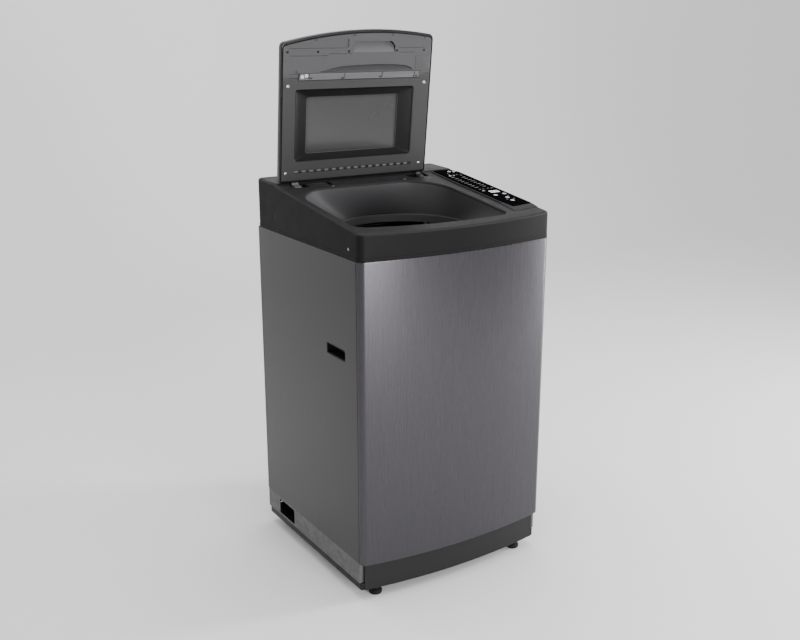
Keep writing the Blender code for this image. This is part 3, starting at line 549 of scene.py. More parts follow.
def deck_raw(y):
    if y <= DECK_Y:
        return DECK_Z - SLOPE * (DECK_Y - y)
    if y >= 0.430:
        return PLATEAU_Z + PLATEAU_RISE * min(1.0, (y - 0.430) / 0.1)
    return DECK_Z + (PLATEAU_Z - DECK_Z) * (y - DECK_Y) / (0.430 - DECK_Y)


def deck(y):
    """Deck height with the step up to the plateau rounded."""
    a, b = 0.4235, 0.4315
    if y <= a or y >= b:
        return deck_raw(y)
    t = (y - a) / (b - a)
    h0, h1 = deck_raw(a), deck_raw(b)
    m0, m1 = SLOPE * (b - a), PLATEAU_RISE / 0.1 * (b - a)
    return ((2 * t ** 3 - 3 * t ** 2 + 1) * h0 + (t ** 3 - 2 * t ** 2 + t) * m0 + (-2 * t ** 3 + 3 * t ** 2) * h1 + (t ** 3 - t ** 2) * m1)


def bow(x, apex=BOW_APEX, k=BOW_K):
    return apex + k * x * x


def body_outline(r=0.018, rb=0.014, nf=56, nc=12, ns=30, half=HALF_W, back=Y_BACK, apex=BOW_APEX):
    """Plan outline, counter-clockwise from the front left."""
    xs = half - r + 0.1857 * r
    pts = []
    for i in range(nf + 1):
        x = -xs + 2 * xs * i / nf
        pts.append((x, bow(x, apex)))
    cy = bow(xs, apex) + 0.9826 * r
    a0 = math.degrees(math.asin(-0.9826))
    for i in range(1, nc + 1):
        a = math.radians(a0 + (0 - a0) * i / nc)
        pts.append((half - r + r * math.cos(a), cy + r * math.sin(a)))
    for i in range(1, ns + 1):
        pts.append((half, cy + (back - rb - cy) * i / ns))
    for i in range(1, nc + 1):
        a = math.radians(90 * i / nc)
        pts.append((half - rb + rb * math.cos(a), back - rb + rb * math.sin(a)))
    for i in range(1, 25):
        pts.append((half - rb - (2 * (half - rb)) * i / 24, back))
    for i in range(1, nc + 1):
        a = math.radians(90 + 90 * i / nc)
        pts.append((-half + rb + rb * math.cos(a), back - rb + rb * math.sin(a)))
    for i in range(1, ns + 1):
        pts.append((-half, back - rb + (cy - back + rb) * i / ns))
    for i in range(1, nc):
        ang = 180 + (79.3) * i / nc
        a = math.radians(ang)
        pts.append((-half + r + r * math.cos(a), cy + r * math.sin(a)))
    return pts


# ================================================================= top cover
OPEN = fillet([(-0.2580, 0.0470, 0.034), (-0.150, 0.0258, 0.2), (-0.060, 0.0158, 0.3), (0.030, 0.0125, 0.4), (0.100, 0.0146, 0.3),
               (0.1650, 0.0200, 0.024), (0.1660, 0.1500, 0.2), (0.1600, 0.3740, 0.112), (-0.2580, 0.3740, 0.100)], 0, 12)


def resample(loop, n):
    pts = [Vector(p) for p in loop]
    seg = [(pts[(i + 1) % len(pts)] - pts[i]).length for i in range(len(pts))]
    total = sum(seg)
    out = []
    i, acc = 0, 0.0
    for k in range(n):
        d = total * k / n
        while acc + seg[i] < d:
            acc += seg[i]
            i += 1
        t = (d - acc) / seg[i] if seg[i] > 0 else 0
        p = pts[i].lerp(pts[(i + 1) % len(pts)], t)
        out.append((p.x, p.y))
    return out


OPEN = resample(OPEN, 220)
MOUTH_C = (-0.003, 0.246)
MOUTH_R = 0.168
MOUTH_Z = 0.8920
WELLS = {"left": rrect(-0.2420, -0.1260, 0.3900, 0.4237, (0.010, 0.004, 0.003, 0.003)), "right": rrect(0.1120, 0.1765, 0.3900, 0.4237, (0.004, 0.010, 0.003, 0.003))}


def build_top_cover():
    out_loop = body_outline()
    bm = bmesh.new()
    z0 = Z_SEAM
    R = 0.0075
    prof = [(0.0010, None, z0), (0.0, None, z0 + 0.0010), (0.0, None, z0 + 0.0075), (0.0006, None, z0 + 0.0082), (0.0006, None, z0 + 0.0090), (0.0006, None, z0 + 0.0097)]
    rings = []
    for d, _, z in prof:
        rings.append([(p[0], p[1], z) for p in offset_loop(out_loop, -d)])
    for k in range(7):
        a = math.pi / 2 * k / 6
        d = 0.0006 + R * (1 - math.cos(a))
        lp = offset_loop(out_loop, -d)
        rings.append([(p[0], p[1], deck(q[1]) - R * (1 - math.sin(a))) for p, q in zip(lp, offset_loop(out_loop, -R - 0.0006))])
    vs = [[bm.verts.new(p) for p in ring] for ring in rings]
    n = len(out_loop)
    for a, b in zip(vs, vs[1:]):
        for i in range(n):
            j = (i + 1) % n
            bm.faces.new((a[i], a[j], b[j], b[i]))
    edge_top = vs[-1]
    # filling opening: rim, funnel, lip
    m = len(OPEN)
    cx0, cy0 = -0.045, 0.205
    ang = [math.atan2(p[1] - cy0, p[0] - cx0) for p in OPEN]
    rim = []
    RR = 0.0060
    for k in range(7):
        a = math.pi / 2 * k / 6
        lp = offset_loop(OPEN, RR * (1 - math.sin(a)))
        rim.append([(p[0], p[1], deck(q[1]) - RR * (1 - math.cos(a))) for p, q in zip(lp, OPEN)])
    mouth = [(MOUTH_C[0] + MOUTH_R * math.cos(t), MOUTH_C[1] + MOUTH_R * math.sin(t)) for t in ang]
    last = rim[-1]
    funnel = []
    K = 14
    for k in range(1, K + 1):
        s = k / K
        w = s ** 1.35
        ring = []
        for p, q in zip(last, mouth):
            zt = p[2]
            ring.append((p[0] * (1 - w) + q[0] * w, p[1] * (1 - w) + q[1] * w, zt + (MOUTH_Z + 0.004 - zt) * (s ** 0.92)))
        funnel.append(ring)
    lip = []
    for k in range(1, 6):
        a = math.pi / 2 * k / 5
        r = MOUTH_R - 0.004 * math.sin(a)
        lip.append([(MOUTH_C[0] + r * math.cos(t), MOUTH_C[1] + r * math.sin(t), MOUTH_Z + 0.004 * math.cos(a)) for t in ang])
    r = MOUTH_R - 0.004
    for zz in (0.8800, 0.8740):
        lip.append([(MOUTH_C[0] + r * math.cos(t), MOUTH_C[1] + r * math.sin(t), zz) for t in ang])
    under = []
    for rr_, zz in ((MOUTH_R - 0.0005, 0.8740), (MOUTH_R + 0.0010, 0.8880)):
        under.append([(MOUTH_C[0] + rr_ * math.cos(t), MOUTH_C[1] + rr_ * math.sin(t), zz) for t in ang])
    for k in range(K - 2, 0, -1):
        ring = [(p[0], p[1], p[2]) for p in funnel[k]]
        lp = offset_loop([(p[0], p[1]) for p in ring], 0.0028)
        under.append([(p[0], p[1], q[2] - 0.0022) for p, q in zip(lp, ring)])
    chain = rim + funnel + lip + under
    ovs = [[bm.verts.new(p) for p in ring] for ring in chain]
    # order: the deck side first
    for k, (a, b) in enumerate(zip(ovs, ovs[1:])):
        # index 1 takes the cover plastic's painted-light top copy, index 2 the funnel's painted-light copy
        part = 1 if k < len(rim) - 1 else 2 if k < len(rim) + len(funnel) + len(lip) - 1 else 0
        for i in range(m):
            j = (i + 1) % m
            f = bm.faces.new((a[j], a[i], b[i], b[j]))
            f.material_index = part
    rim_top = ovs[0]
    under_in = ovs[-1]
    # deck between the edge, the opening and the wells, with the step's lines
    coords, edges, ids = [], [], []

    def loop_in(vlist=None, pts=None):
        start = len(coords)
        src = [(v.co.x, v.co.y) for v in vlist] if vlist is not None else pts
        for p in src:
            coords.append(Vector((p[0], p[1])))
        cnt = len(src)
        for i in range(cnt):
            edges.append((start + i, start + (i + 1) % cnt))
        return start, cnt
    e0, en = loop_in(vlist=edge_top)
    o0, on = loop_in(vlist=rim_top)
    well_loops = {}
    for side, lp in WELLS.items():
        well_loops[side] = loop_in(pts=lp)
    for yk in (0.4243, 0.4252, 0.4262, 0.4275, 0.4288, 0.4301, 0.4315, 0.4500):
        s = len(coords)
        coords.append(Vector((-HALF_W + R + 0.0012, yk)))
        coords.append(Vector((HALF_W - R - 0.0012, yk)))
        edges.append((s, s + 1))
    res = delaunay_2d_cdt(coords, edges, [], 0, 1e-7)
    vco, _, faces, orig_v = res[0], res[1], res[2], res[3]
    # classify faces by their centre
    def inside(poly, x, y):
        c = False
        k = len(poly)
        for i in range(k):
            x1, y1 = poly[i]
            x2, y2 = poly[(i + 1) % k]
            if (y1 > y) != (y2 > y) and x < (x2 - x1) * (y - y1) / (y2 - y1) + x1:
                c = not c
        return c
    edge_poly = [(v.co.x, v.co.y) for v in edge_top]
    open_poly = [(v.co.x, v.co.y) for v in rim_top]
    well_polys = [lp for lp in WELLS.values()]
    top_v, bot_v = {}, {}
    bmv_by_input = {}
    for i in range(en):
        bmv_by_input[e0 + i] = edge_top[i]
    for i in range(on):
        bmv_by_input[o0 + i] = rim_top[i]
    used = set()
    keep = []
    for f in faces:
        cx = sum(vco[i].x for i in f) / len(f)
        cy = sum(vco[i].y for i in f) / len(f)
        if not inside(edge_poly, cx, cy) or inside(open_poly, cx, cy) or any(inside(w, cx, cy) for w in well_polys):
            continue
        keep.append(f)
        used.update(f)
    for i in used:
        hit = None
        for src in orig_v[i]:
            if src in bmv_by_input:
                hit = bmv_by_input[src]
        if hit is None:
            hit = bm.verts.new((vco[i].x, vco[i].y, deck(vco[i].y)))
        top_v[i] = hit
    under_v, from_input = {}, {}
    for i in used:
        under_v[i] = bm.verts.new((vco[i].x, vco[i].y, deck(vco[i].y) - 0.0032))
        for src in orig_v[i]:
            from_input[src] = i
    for f in keep:
        bm.faces.new([top_v[i] for i in f])
        bm.faces.new([under_v[i] for i in reversed(f)])
    hole = [under_v[from_input[o0 + i]] for i in range(on)]
    for i in range(on):
        j = (i + 1) % on
        bm.faces.new((under_in[j], under_in[i], hole[i], hole[j]))
    # wells: rounded edge going down into a pocket
    for side, lp in WELLS.items():
        w0, wn_ = well_loops[side]
        idx = {}
        for i in used:
            for src in orig_v[i]:
                if w0 <= src < w0 + wn_:
                    idx[src - w0] = top_v[i]
        ring0 = [idx[i] for i in range(wn_)]
        prev = ring0
        steps = [(0.0004, 0.0004), (0.0010, 0.0014), (0.0012, 0.0030)]
        for d, h in steps:
            l2 = offset_loop(lp, -d)
            cur = [bm.verts.new((p[0], p[1], (deck(q[1]) - h) if h < 0.01 else (0.9905 - h))) for p, q in zip(l2, lp)]
            for i in range(wn_):
                j = (i + 1) % wn_
                bm.faces.new((prev[j], prev[i], cur[i], cur[j]))
            prev = cur
        cur = [under_v[from_input[w0 + i]] for i in range(wn_)]
        for i in range(wn_):
            j = (i + 1) % wn_
            bm.faces.new((prev[j], prev[i], cur[i], cur[j]))
    # underside: inner wall of the skirt
    inner = []
    for d, z in ((0.0010, z0), (0.0032, z0), (0.0032, z0 + 0.02)):
        inner.append([(p[0], p[1], z) for p in offset_loop(out_loop, -d)])
    prev = vs[0]
    for ring in inner[1:]:
        cur = [bm.verts.new(p) for p in ring]
        for i in range(n):
            j = (i + 1) % n
            bm.faces.new((prev[j], prev[i], cur[i], cur[j]))
        prev = cur
    cur = [under_v[from_input[e0 + i]] for i in range(en)]
    for i in range(n):
        j = (i + 1) % n
        bm.faces.new((prev[j], prev[i], cur[i], cur[j]))
    bm.normal_update()
    return finish_mesh("top_cover_shell", bm, M["cover"], "cabinet", ("top_cover",), "cover_plastic", smooth=34, weighted=True, recalc=False)


cover_shell = build_top_cover()


def in_loop(poly, x, y):
    c = False
    for i in range(len(poly)):
        x1, y1 = poly[i]
        x2, y2 = poly[(i + 1) % len(poly)]
        if (y1 > y) != (y2 > y) and x < (x2 - x1) * (y - y1) / (y2 - y1) + x1:
            c = not c
    return c


# painted light: faces turned upwards get the lighter copy of the cover plastic; the funnel's brightened copy is
# appended after it
paint_faces(cover_shell, M["deck"], lambda x, y, z, n: n.z > 0.25 and z > Z_SEAM + 0.020)
cover_shell.data.materials.append(M["funnel"])

# ======================================================================= lid
def lid_loop(l, r, b, t, rb=0.006, rt=0.014, nx=44, nc=7, ny=12):
    """Lid outline with separate insets left, right, bottom and top."""
    x0, x1, y0 = LID_X0 + l, LID_X1 - r, b
    rb, rt = max(rb - max(l, b) * 0.6, 0.0015), max(rt - max(l, t) * 0.5, 0.003)

    def top(x):
        return LID_TIP - LID_TIP_K * x * x - t
    pts = []

    def arc(cx, cy, rad, a0, a1):
        for i in range(nc + 1):
            a = math.radians(a0 + (a1 - a0) * i / nc)
            pts.append((cx + rad * math.cos(a), cy + rad * math.sin(a)))
    yl0, yl1 = y0 + rb, top(x0 + rt) - rt
    arc(x0 + rb, y0 + rb, rb, 180, 270)
    for i in range(1, nx):
        pts.append((x0 + rb + (x1 - x0 - 2 * rb) * i / nx, y0))
    arc(x1 - rb, y0 + rb, rb, 270, 360)
    yr0, yr1 = y0 + rb, top(x1 - rt) - rt
    for i in range(1, ny):
        pts.append((x1, yr0 + (yr1 - yr0) * i / ny))
    arc(x1 - rt, yr1, rt, 0, 90)
    for i in range(1, nx):
        x = x1 - rt + (x0 + rt - x1 + rt) * i / nx
        pts.append((x, top(x)))
    arc(x0 + rt, yl1, rt, 90, 180)
    for i in range(1, ny):
        pts.append((x0, yl1 + (yl0 - yl1) * i / ny))
    return pts


def inside(poly, x, y):
    c = False
    k = len(poly)
    for i in range(k):
        x1, y1 = poly[i]
        x2, y2 = poly[(i + 1) % k]
        if (y1 > y) != (y2 > y) and x < (x2 - x1) * (y - y1) / (y2 - y1) + x1:
            c = not c
    return c


def plate(bm, outer, holes, place, lines=()):
    """Flat sheet between closed loops; returns the vertex rings of every loop."""
    coords, edges, spans = [], [], []
    for lp in [outer] + holes:
        s = len(coords)
        coords += [Vector(p) for p in lp]
        edges += [(s + i, s + (i + 1) % len(lp)) for i in range(len(lp))]
        spans.append((s, len(lp)))
    for a, b in lines:
        s = len(coords)
        coords += [Vector(a), Vector(b)]
        edges.append((s, s + 1))
    vco, _, faces, ov, _, _ = delaunay_2d_cdt(coords, edges, [], 0, 1e-7)
    keep, used = [], set()
    for f in faces:
        cx = sum(vco[i].x for i in f) / len(f)
        cy = sum(vco[i].y for i in f) / len(f)
        if inside(outer, cx, cy) and not any(inside(h, cx, cy) for h in holes):
            keep.append(f)
            used.update(f)
    vmap, where = {}, {}
    for i in sorted(used):
        vmap[i] = bm.verts.new(place(vco[i].x, vco[i].y))
        for src in ov[i]:
            where[src] = vmap[i]
    for f in keep:
        bm.faces.new([vmap[i] for i in f])
    return [[where[s + i] for i in range(n)] for s, n in spans]


def strip(bm, a, b):
    n = len(a)
    for i in range(n):
        j = (i + 1) % n
        bm.faces.new((a[i], a[j], b[j], b[i]))


def sink(bm, ring, loop, steps, place, cap=True):
    """Continues a plate's hole inwards: steps of (inset, height)."""
    prev = ring
    for d, h in steps:
        lp = offset_loop(loop, -d)
        cur = [bm.verts.new(place(p[0], p[1], h(p[0], p[1]) if callable(h) else h)) for p in lp]
        strip(bm, prev, cur)
        prev = cur
    if cap:
        bm.faces.new(prev)
    return prev


# outer shell: skin at the back, rounded rim, lip and groove in front
def lip(il, it, ib, n):
    return [lid_point(p[0], p[1], n) for p in lid_loop(il, il, ib, it)]


WX0, WX1, WT0, WT1 = -0.1900, 0.0810, 0.0730, 0.2150
bm = bmesh.new()
back_win = rrect(WX0 + 0.0060, WX1 - 0.0060, WT0 + 0.0060, WT1 - 0.0060, 0.006)
rings = plate(bm, lid_loop(0.0085, 0.0085, 0.0085, 0.0085), [back_win], lambda x, t: lid_point(x, t, -0.0200))
prev = rings[0]
for inset, n in ((0.0055, -0.0197), (0.0030, -0.0186), (0.0012, -0.0168), (0.0003, -0.0146), (0.0, -0.0120), (0.0, -0.0040), (0.0002, -0.0024), (0.0009, -0.0012), (0.0019, -0.0005)):
    cur = [bm.verts.new(p) for p in lip(inset, inset, inset, n)]
    strip(bm, prev, cur)
    prev = cur
for il, it, ib, n in ((0.0026, 0.0056, 0.0022, -0.0003), (0.0030, 0.0064, 0.0026, -0.0009), (0.0031, 0.0066, 0.0027, -0.0060), (0.0070, 0.0110, 0.0060, -0.0062), (0.0070, 0.0110, 0.0060, -0.0170)):
    cur = [bm.verts.new(p) for p in lip(il, it, ib, n)]
    strip(bm, prev, cur)
    prev = cur
front_rings = plate(bm, lid_loop(0.0090, 0.0090, 0.0090, 0.0130), [back_win], lambda x, t: lid_point(x, t, -0.0174))
strip(bm, prev, front_rings[0])
strip(bm, rings[1], front_rings[1])
finish_mesh("lid_shell", bm, M["lid_outer"], "lid", ("lid_outer_shell",), "cover_plastic", smooth=35, weighted=True, shift=False)

# inner frame: moulded cover with the window bezel, finger pocket, scoop and grooves
FRAME_IN = (0.0052, 0.0052, 0.0048, 0.0086)
bezel = rrect(-0.2306, 0.1265, 0.0530, 0.2380, 0.007, 6)
POCKET = fillet([(-0.0657, 0.3265, 0.0012), (0.0600, 0.3265, 0.0012), (0.0600, 0.3430, 0.006), (0.0500, 0.3545, 0.006), (-0.0600, 0.3545, 0.006), (-0.0657, 0.3480, 0.004)], 0, 5)
ARCH = [(-0.1668, 0.2790), (0.1194, 0.2790), (0.1110, 0.2872), (0.0931, 0.2922), (0.0647, 0.2952), (0.0092, 0.2966), (-0.0450, 0.2955), (-0.0981, 0.2934),
        (-0.1241, 0.2892), (-0.1412, 0.2848)]
ARCH = fillet([(p[0], p[1], 0.02 if i > 1 else 0.0008) for i, p in enumerate(ARCH)], 0, 5)
STRIP = rrect(-0.2222, 0.1400, 0.2588, 0.2780, 0.0012, 3)
GROOVES = [
    rrect(-0.2500, -0.2250, 0.2745, 0.2850, 0.0020, 3),
    rrect(-0.2500, -0.0880, 0.3380, 0.3396, 0.0006, 2), rrect(-0.2480, -0.1400, 0.3196, 0.3210, 0.0006, 2),
    rrect(-0.1360, -0.0700, 0.3237, 0.3252, 0.0006, 2), rrect(-0.0850, -0.0795, 0.3400, 0.3600, 0.0012, 2),
    rrect(0.0700, 0.1500, 0.3370, 0.3385, 0.0006, 2), rrect(0.0740, 0.1210, 0.3250, 0.3264, 0.0006, 2),
    rrect(-0.2480, -0.2245, 0.2655, 0.2672, 0.0006, 2), rrect(0.1525, 0.1715, 0.2690, 0.2706, 0.0006, 2)]
CLIPS = [(-0.2530, 0.3300), (-0.1684, 0.3300), (-0.0792, 0.3300), (0.0655, 0.3305), (0.1505, 0.3305)]
TOP_CLIPS = [(-0.2545, 0.3478), (-0.1750, 0.3592), (-0.0636, 0.3712), (0.0505, 0.3708), (0.1500, 0.3635)]
CLIP_HOLES = [rrect(x - 0.0030, x + 0.0030, t - 0.0028, t + 0.0028, 0.0010, 2) for x, t in CLIPS]
CHANNEL = rrect(-0.2300, 0.1290, 0.0236, 0.0312, 0.0036, 5)


def lp3(x, t, n=0.0):
    return lid_point(x, t, n)


bm = bmesh.new()
edge = lid_loop(*FRAME_IN)
holes = [bezel, POCKET, ARCH] + GROOVES + CLIP_HOLES + [CHANNEL, STRIP]
rg = plate(bm, offset_loop(edge, -0.0012), holes, lambda x, t: lid_point(x, t, 0.0))
prev = rg[0]
for d, n in ((0.0005, -0.0003), (0.0001, -0.0008), (0.0, -0.0014), (0.0, -0.0124), (0.0030, -0.0125)):
    cur = [bm.verts.new(lid_point(p[0], p[1], n)) for p in offset_loop(edge, -d)]
    strip(bm, prev, cur)
    prev = cur
under_outer = prev


def slope_in(x, t):
    return -0.0105


prev = rg[1]
inner_win = rrect(WX0 - 0.0016, WX1 + 0.0016, WT0 - 0.0016, WT1 + 0.0016, 0.008, 6)
hole_win = rrect(WX0, WX1, WT0, WT1, 0.0065, 6)
for k, (w, n) in enumerate(((0.02, -0.0005), (0.06, -0.0018), (0.12, -0.0036), (0.30, -0.0058), (0.60, -0.0084), (1.0, -0.0112))):
    cur = [bm.verts.new(lid_point(p[0] * (1 - w) + q[0] * w, p[1] * (1 - w) + q[1] * w, n)) for p, q in zip(bezel, inner_win)]
    strip(bm, prev, cur)
    if k == 2:
        bezel_from = len(bm.faces)
    prev = cur
cur = [bm.verts.new(lid_point(p[0], p[1], -0.0116)) for p in hole_win]
strip(bm, prev, cur)
prev = cur
cur = [bm.verts.new(lid_point(p[0], p[1], -0.0125)) for p in hole_win]
strip(bm, prev, cur)
under_in = cur


def pocket_floor(x, t):
    u = max(0.0, min(1.0, (t - 0.3265) / 0.0245))
    return -0.0008 - 0.0105 * (u ** 1.5)


sink(bm, rg[2], POCKET, ((0.0003, -0.0006), (0.0008, lambda x, t: min(-0.0008, pocket_floor(x, t) * 0.55)), (0.0012, lambda x, t: min(-0.0010, pocket_floor(x, t)))), lp3, cap=False)
# the pocket's floor as a ramp
ring = [v for v in bm.verts][-len(POCKET):]
loop2 = offset_loop(POCKET, -0.0012)
ramp = plate(bm, offset_loop(POCKET, -0.00125), [], lambda x, t: lid_point(x, t, min(-0.0010, pocket_floor(x, t))),
             lines=[((-0.0640, 0.3265 + 0.0245 * k / 9), (0.0585, 0.3265 + 0.0245 * k / 9)) for k in range(1, 9)])
strip(bm, ring, ramp[0])


def arch_floor(x, t):
    u = max(0.0, min(1.0, (t - 0.2790) / 0.0170))
    return -0.0006 - 0.0072 * (u ** 1.15)


sink(bm, rg[3], ARCH, ((0.0003, lambda x, t: max(-0.0005, arch_floor(x, t))), (0.0010, lambda x, t: arch_floor(x, t))), lp3, cap=False)
ring = [v for v in bm.verts][-len(ARCH):]
ramp = plate(bm, offset_loop(ARCH, -0.00105), [], lambda x, t: lid_point(x, t, arch_floor(x, t)),
             lines=[((-0.1580, 0.2790 + 0.0170 * k / 7), (0.1140, 0.2790 + 0.0170 * k / 7)) for k in range(1, 7)])
strip(bm, ring, ramp[0])
for i, g in enumerate(GROOVES):
    sink(bm, rg[4 + i], g, ((0.0001, -0.0003), (0.0002, -0.0016)), lp3)
k0 = 4 + len(GROOVES)
for i, g in enumerate(CLIP_HOLES):
    sink(bm, rg[k0 + i], g, ((0.0002, -0.0004), (0.0003, -0.0034)), lp3)
sink(bm, rg[k0 + len(CLIP_HOLES)], CHANNEL, ((0.0003, -0.0004), (0.0006, -0.0022)), lp3)
sink(bm, rg[k0 + len(CLIP_HOLES) + 1], STRIP, ((0.0002, -0.0004), (0.0004, -0.0034)), lp3)
under = plate(bm, offset_loop(edge, -0.0032), [hole_win], lambda x, t: lid_point(x, t, -0.01252))
strip(bm, under_outer, under[0])
strip(bm, under_in, under[1])
inner_frame = finish_mesh("lid_inner_panel", bm, M["lid_inner"], "lid", ("lid_inner_frame", "lid_finger_grip"), "lid_plastic", smooth=38, weighted=True, shift=False)

LP0 = Vector(lid_point(0, 0, 0))
LPT = Vector(lid_point(0, 1, 0)) - LP0
LPN = Vector(lid_point(0, 0, 1)) - LP0


def lid_test(poly, lo, hi, wall):
    def test(x, y, z, n):
        d = Vector((x, y + SY, z)) - LP0
        return lo < d.dot(LPN) < hi and (abs(n.dot(LPN)) < 0.75) == wall and in_loop(poly, x, d.dot(LPT))
    return test


# painted light and shade: the finger pocket's floor takes a lighter plastic (painted light) and its walls a near-black
# one (painted shadow)
paint_faces(inner_frame, M["lid_light"], lid_test(POCKET, -0.0125, -0.0006, False))
paint_faces(inner_frame, M["lid_dark"], lid_test(POCKET, -0.0125, -0.0006, True))
# painted shade: the scoop's ramp floor takes a darker plastic
paint_faces(inner_frame, M["ramp_shade"], lid_test(ARCH, -0.0125, -0.0012, False))

# bezel skin, a hair in front of the recess: dark border of the window
bm = bmesh.new()
prev = None
for w, n in ((0.055, -0.0014), (0.12, -0.0031), (0.30, -0.0053), (0.60, -0.0079), (0.985, -0.0106), (0.995, -0.0113), (0.96, -0.0116), (0.60, -0.0088), (0.30, -0.0062), (0.11, -0.0040), (0.050, -0.0020)):
    cur = [bm.verts.new(lid_point(p[0] * (1 - w) + q[0] * w, p[1] * (1 - w) + q[1] * w, n)) for p, q in zip(bezel, inner_win)]
    if prev:
        strip(bm, prev, cur)
    else:
        first = cur
    prev = cur
strip(bm, prev, first)
finish_mesh("lid_window_border", bm, M["bezel"], "lid", (), "lid_plastic", smooth=40, weighted=True, shift=False)

# glass pane, with ground edges
bm = skin([[lid_point(p[0], p[1], n) for p in offset_loop(rrect(WX0 - 0.0075, WX1 + 0.0075, WT0 - 0.0075, WT1 + 0.0075, 0.008, 6), -d)]
           for d, n in ((0.0006, -0.0169), (0.0, -0.0164), (0.0, -0.0137), (0.0006, -0.0131))])
finish_mesh("lid_window_pane", bm, M["window"], "lid", ("lid_window_glass",), "window_glass", smooth=40, shift=False)

# channel floor and its row of oval vents
lid_pad("lid_vent_channel", offset_loop(CHANNEL, -0.0008), -0.0026, -0.0017, M["black"], 0.0004, 2, slot="lid_plastic")
for i in range(16):
    cx = -0.2228 + (0.1119 + 0.2228) * i / 15
    lid_pad("lid_vent_%02d" % i, rrect(cx - 0.0062, cx + 0.0062, 0.0246, 0.0303, 0.0027, 5), -0.0022, -0.0001, M["lid_light"], 0.0007, 3, slot="lid_plastic")

# clips in their pockets, ribs, the strip that holds the window and its hooks
for i, (x, t) in enumerate(CLIPS):
    hook = fillet([(x - 0.0012, t - 0.0022), (x + 0.0022, t - 0.0022), (x + 0.0022, t - 0.0004), (x + 0.0004, t - 0.0004), (x + 0.0004, t + 0.0020), (x - 0.0012, t + 0.0020)], 0.0005, 2)
    lid_pad("lid_clip_%02d" % i, hook, -0.0036, -0.0012, M["lid_dark"], 0.0003, 2, slot="lid_plastic")
for i, (x, t) in enumerate(TOP_CLIPS):
    hook = fillet([(x - 0.0030, t - 0.0030), (x + 0.0030, t - 0.0030), (x + 0.0030, t + 0.0024), (x + 0.0006, t + 0.0024), (x + 0.0006, t - 0.0004), (x - 0.0030, t - 0.0004)], 0.0006, 2)
    lid_pad("lid_top_clip_%02d" % i, hook, -0.0064, 0.0003, M["lid_dark"], 0.0004, 2, slot="lid_plastic")


def ribbon(name, pts, w, n0, n1, mat, **kw):
    left, right = [], []
    for i, p in enumerate(pts):
        a = Vector(pts[max(i - 1, 0)])
        b = Vector(pts[min(i + 1, len(pts) - 1)])
        d = (b - a).normalized()
        nn = Vector((-d.y, d.x))
        left.append((p[0] + nn.x * w / 2, p[1] + nn.y * w / 2))
        right.append((p[0] - nn.x * w / 2, p[1] - nn.y * w / 2))
    return lid_pad(name, right + list(reversed(left)), n0, n1, mat, min(w * 0.4, 0.0006), 3, **kw)


def top_t(x, inset):
    return LID_TIP - LID_TIP_K * x * x - inset


ribbon("lid_rib_left", [(x, top_t(x, 0.0155)) for x in [-0.245 + 0.160 * k / 20 for k in range(21)]], 0.0016, -0.0003, 0.0, M["lid_inner"], slot="lid_plastic")
ribbon("lid_rib_right", [(x, top_t(x, 0.0165)) for x in [0.068 + 0.086 * k / 14 for k in range(15)]], 0.0016, -0.0003, 0.0, M["lid_inner"], slot="lid_plastic")
lid_pad("lid_retainer_strip", rrect(-0.2208, 0.1386, 0.2604, 0.2768, 0.0010, 3), -0.0040, 0.0006, M["lid_light"], 0.0006, 3, slot="lid_plastic")
lid_pad("lid_boss_right", rrect(0.1245, 0.1715, 0.2790 - 0.0020, 0.3175, 0.0040, 5), -0.0004, 0.0006, M["lid_inner"], 0.0009, 3, slot="lid_plastic")
HOOKS = [(-0.2205, 0.2692, 0.0034, 0.0150), (-0.1925, 0.2700, 0.0028, 0.0120), (-0.0900, 0.2690, 0.0026, 0.0130), (0.0230, 0.2695, 0.0026, 0.0130), (0.1235, 0.2680, 0.0030, 0.0130)]
for i, (x, t, w, h) in enumerate(HOOKS):
    L = fillet([(x - w, t - h / 2), (x + w * 0.4, t - h / 2), (x + w * 0.4, t + h * 0.10), (x + w, t + h * 0.10), (x + w, t + h / 2), (x - w * 0.2, t + h / 2), (x - w * 0.2, t - h * 0.12), (x - w, t - h * 0.12)], 0.0006, 2)
    lid_pad("lid_hook_%d" % i, L, 0.0, 0.0009, M["lid_dark"], 0.0004, 2, slot="lid_plastic")
for i, (x, t) in enumerate([(-0.1868, 0.2650), (-0.0955, 0.2632), (0.0175, 0.2640), (0.1300, 0.2640)]):
    lid_pad("lid_hook_tab_%d" % i, rrect(x - 0.0042, x + 0.0042, t - 0.0020, t + 0.0022, 0.0012, 3), 0.0, 0.0008, M["lid_dark"], 0.0004, 2, slot="lid_plastic")
for i, (x, t) in enumerate([(-0.2110, 0.2690), (-0.1990, 0.2715)]):
    lid_pad("lid_latch_%d" % i, rrect(x - 0.0046, x + 0.0042, t - 0.0042, t + 0.0040, 0.0012, 3), 0.0, 0.0010, M["light"], 0.0004, 2, slot="lid_plastic")


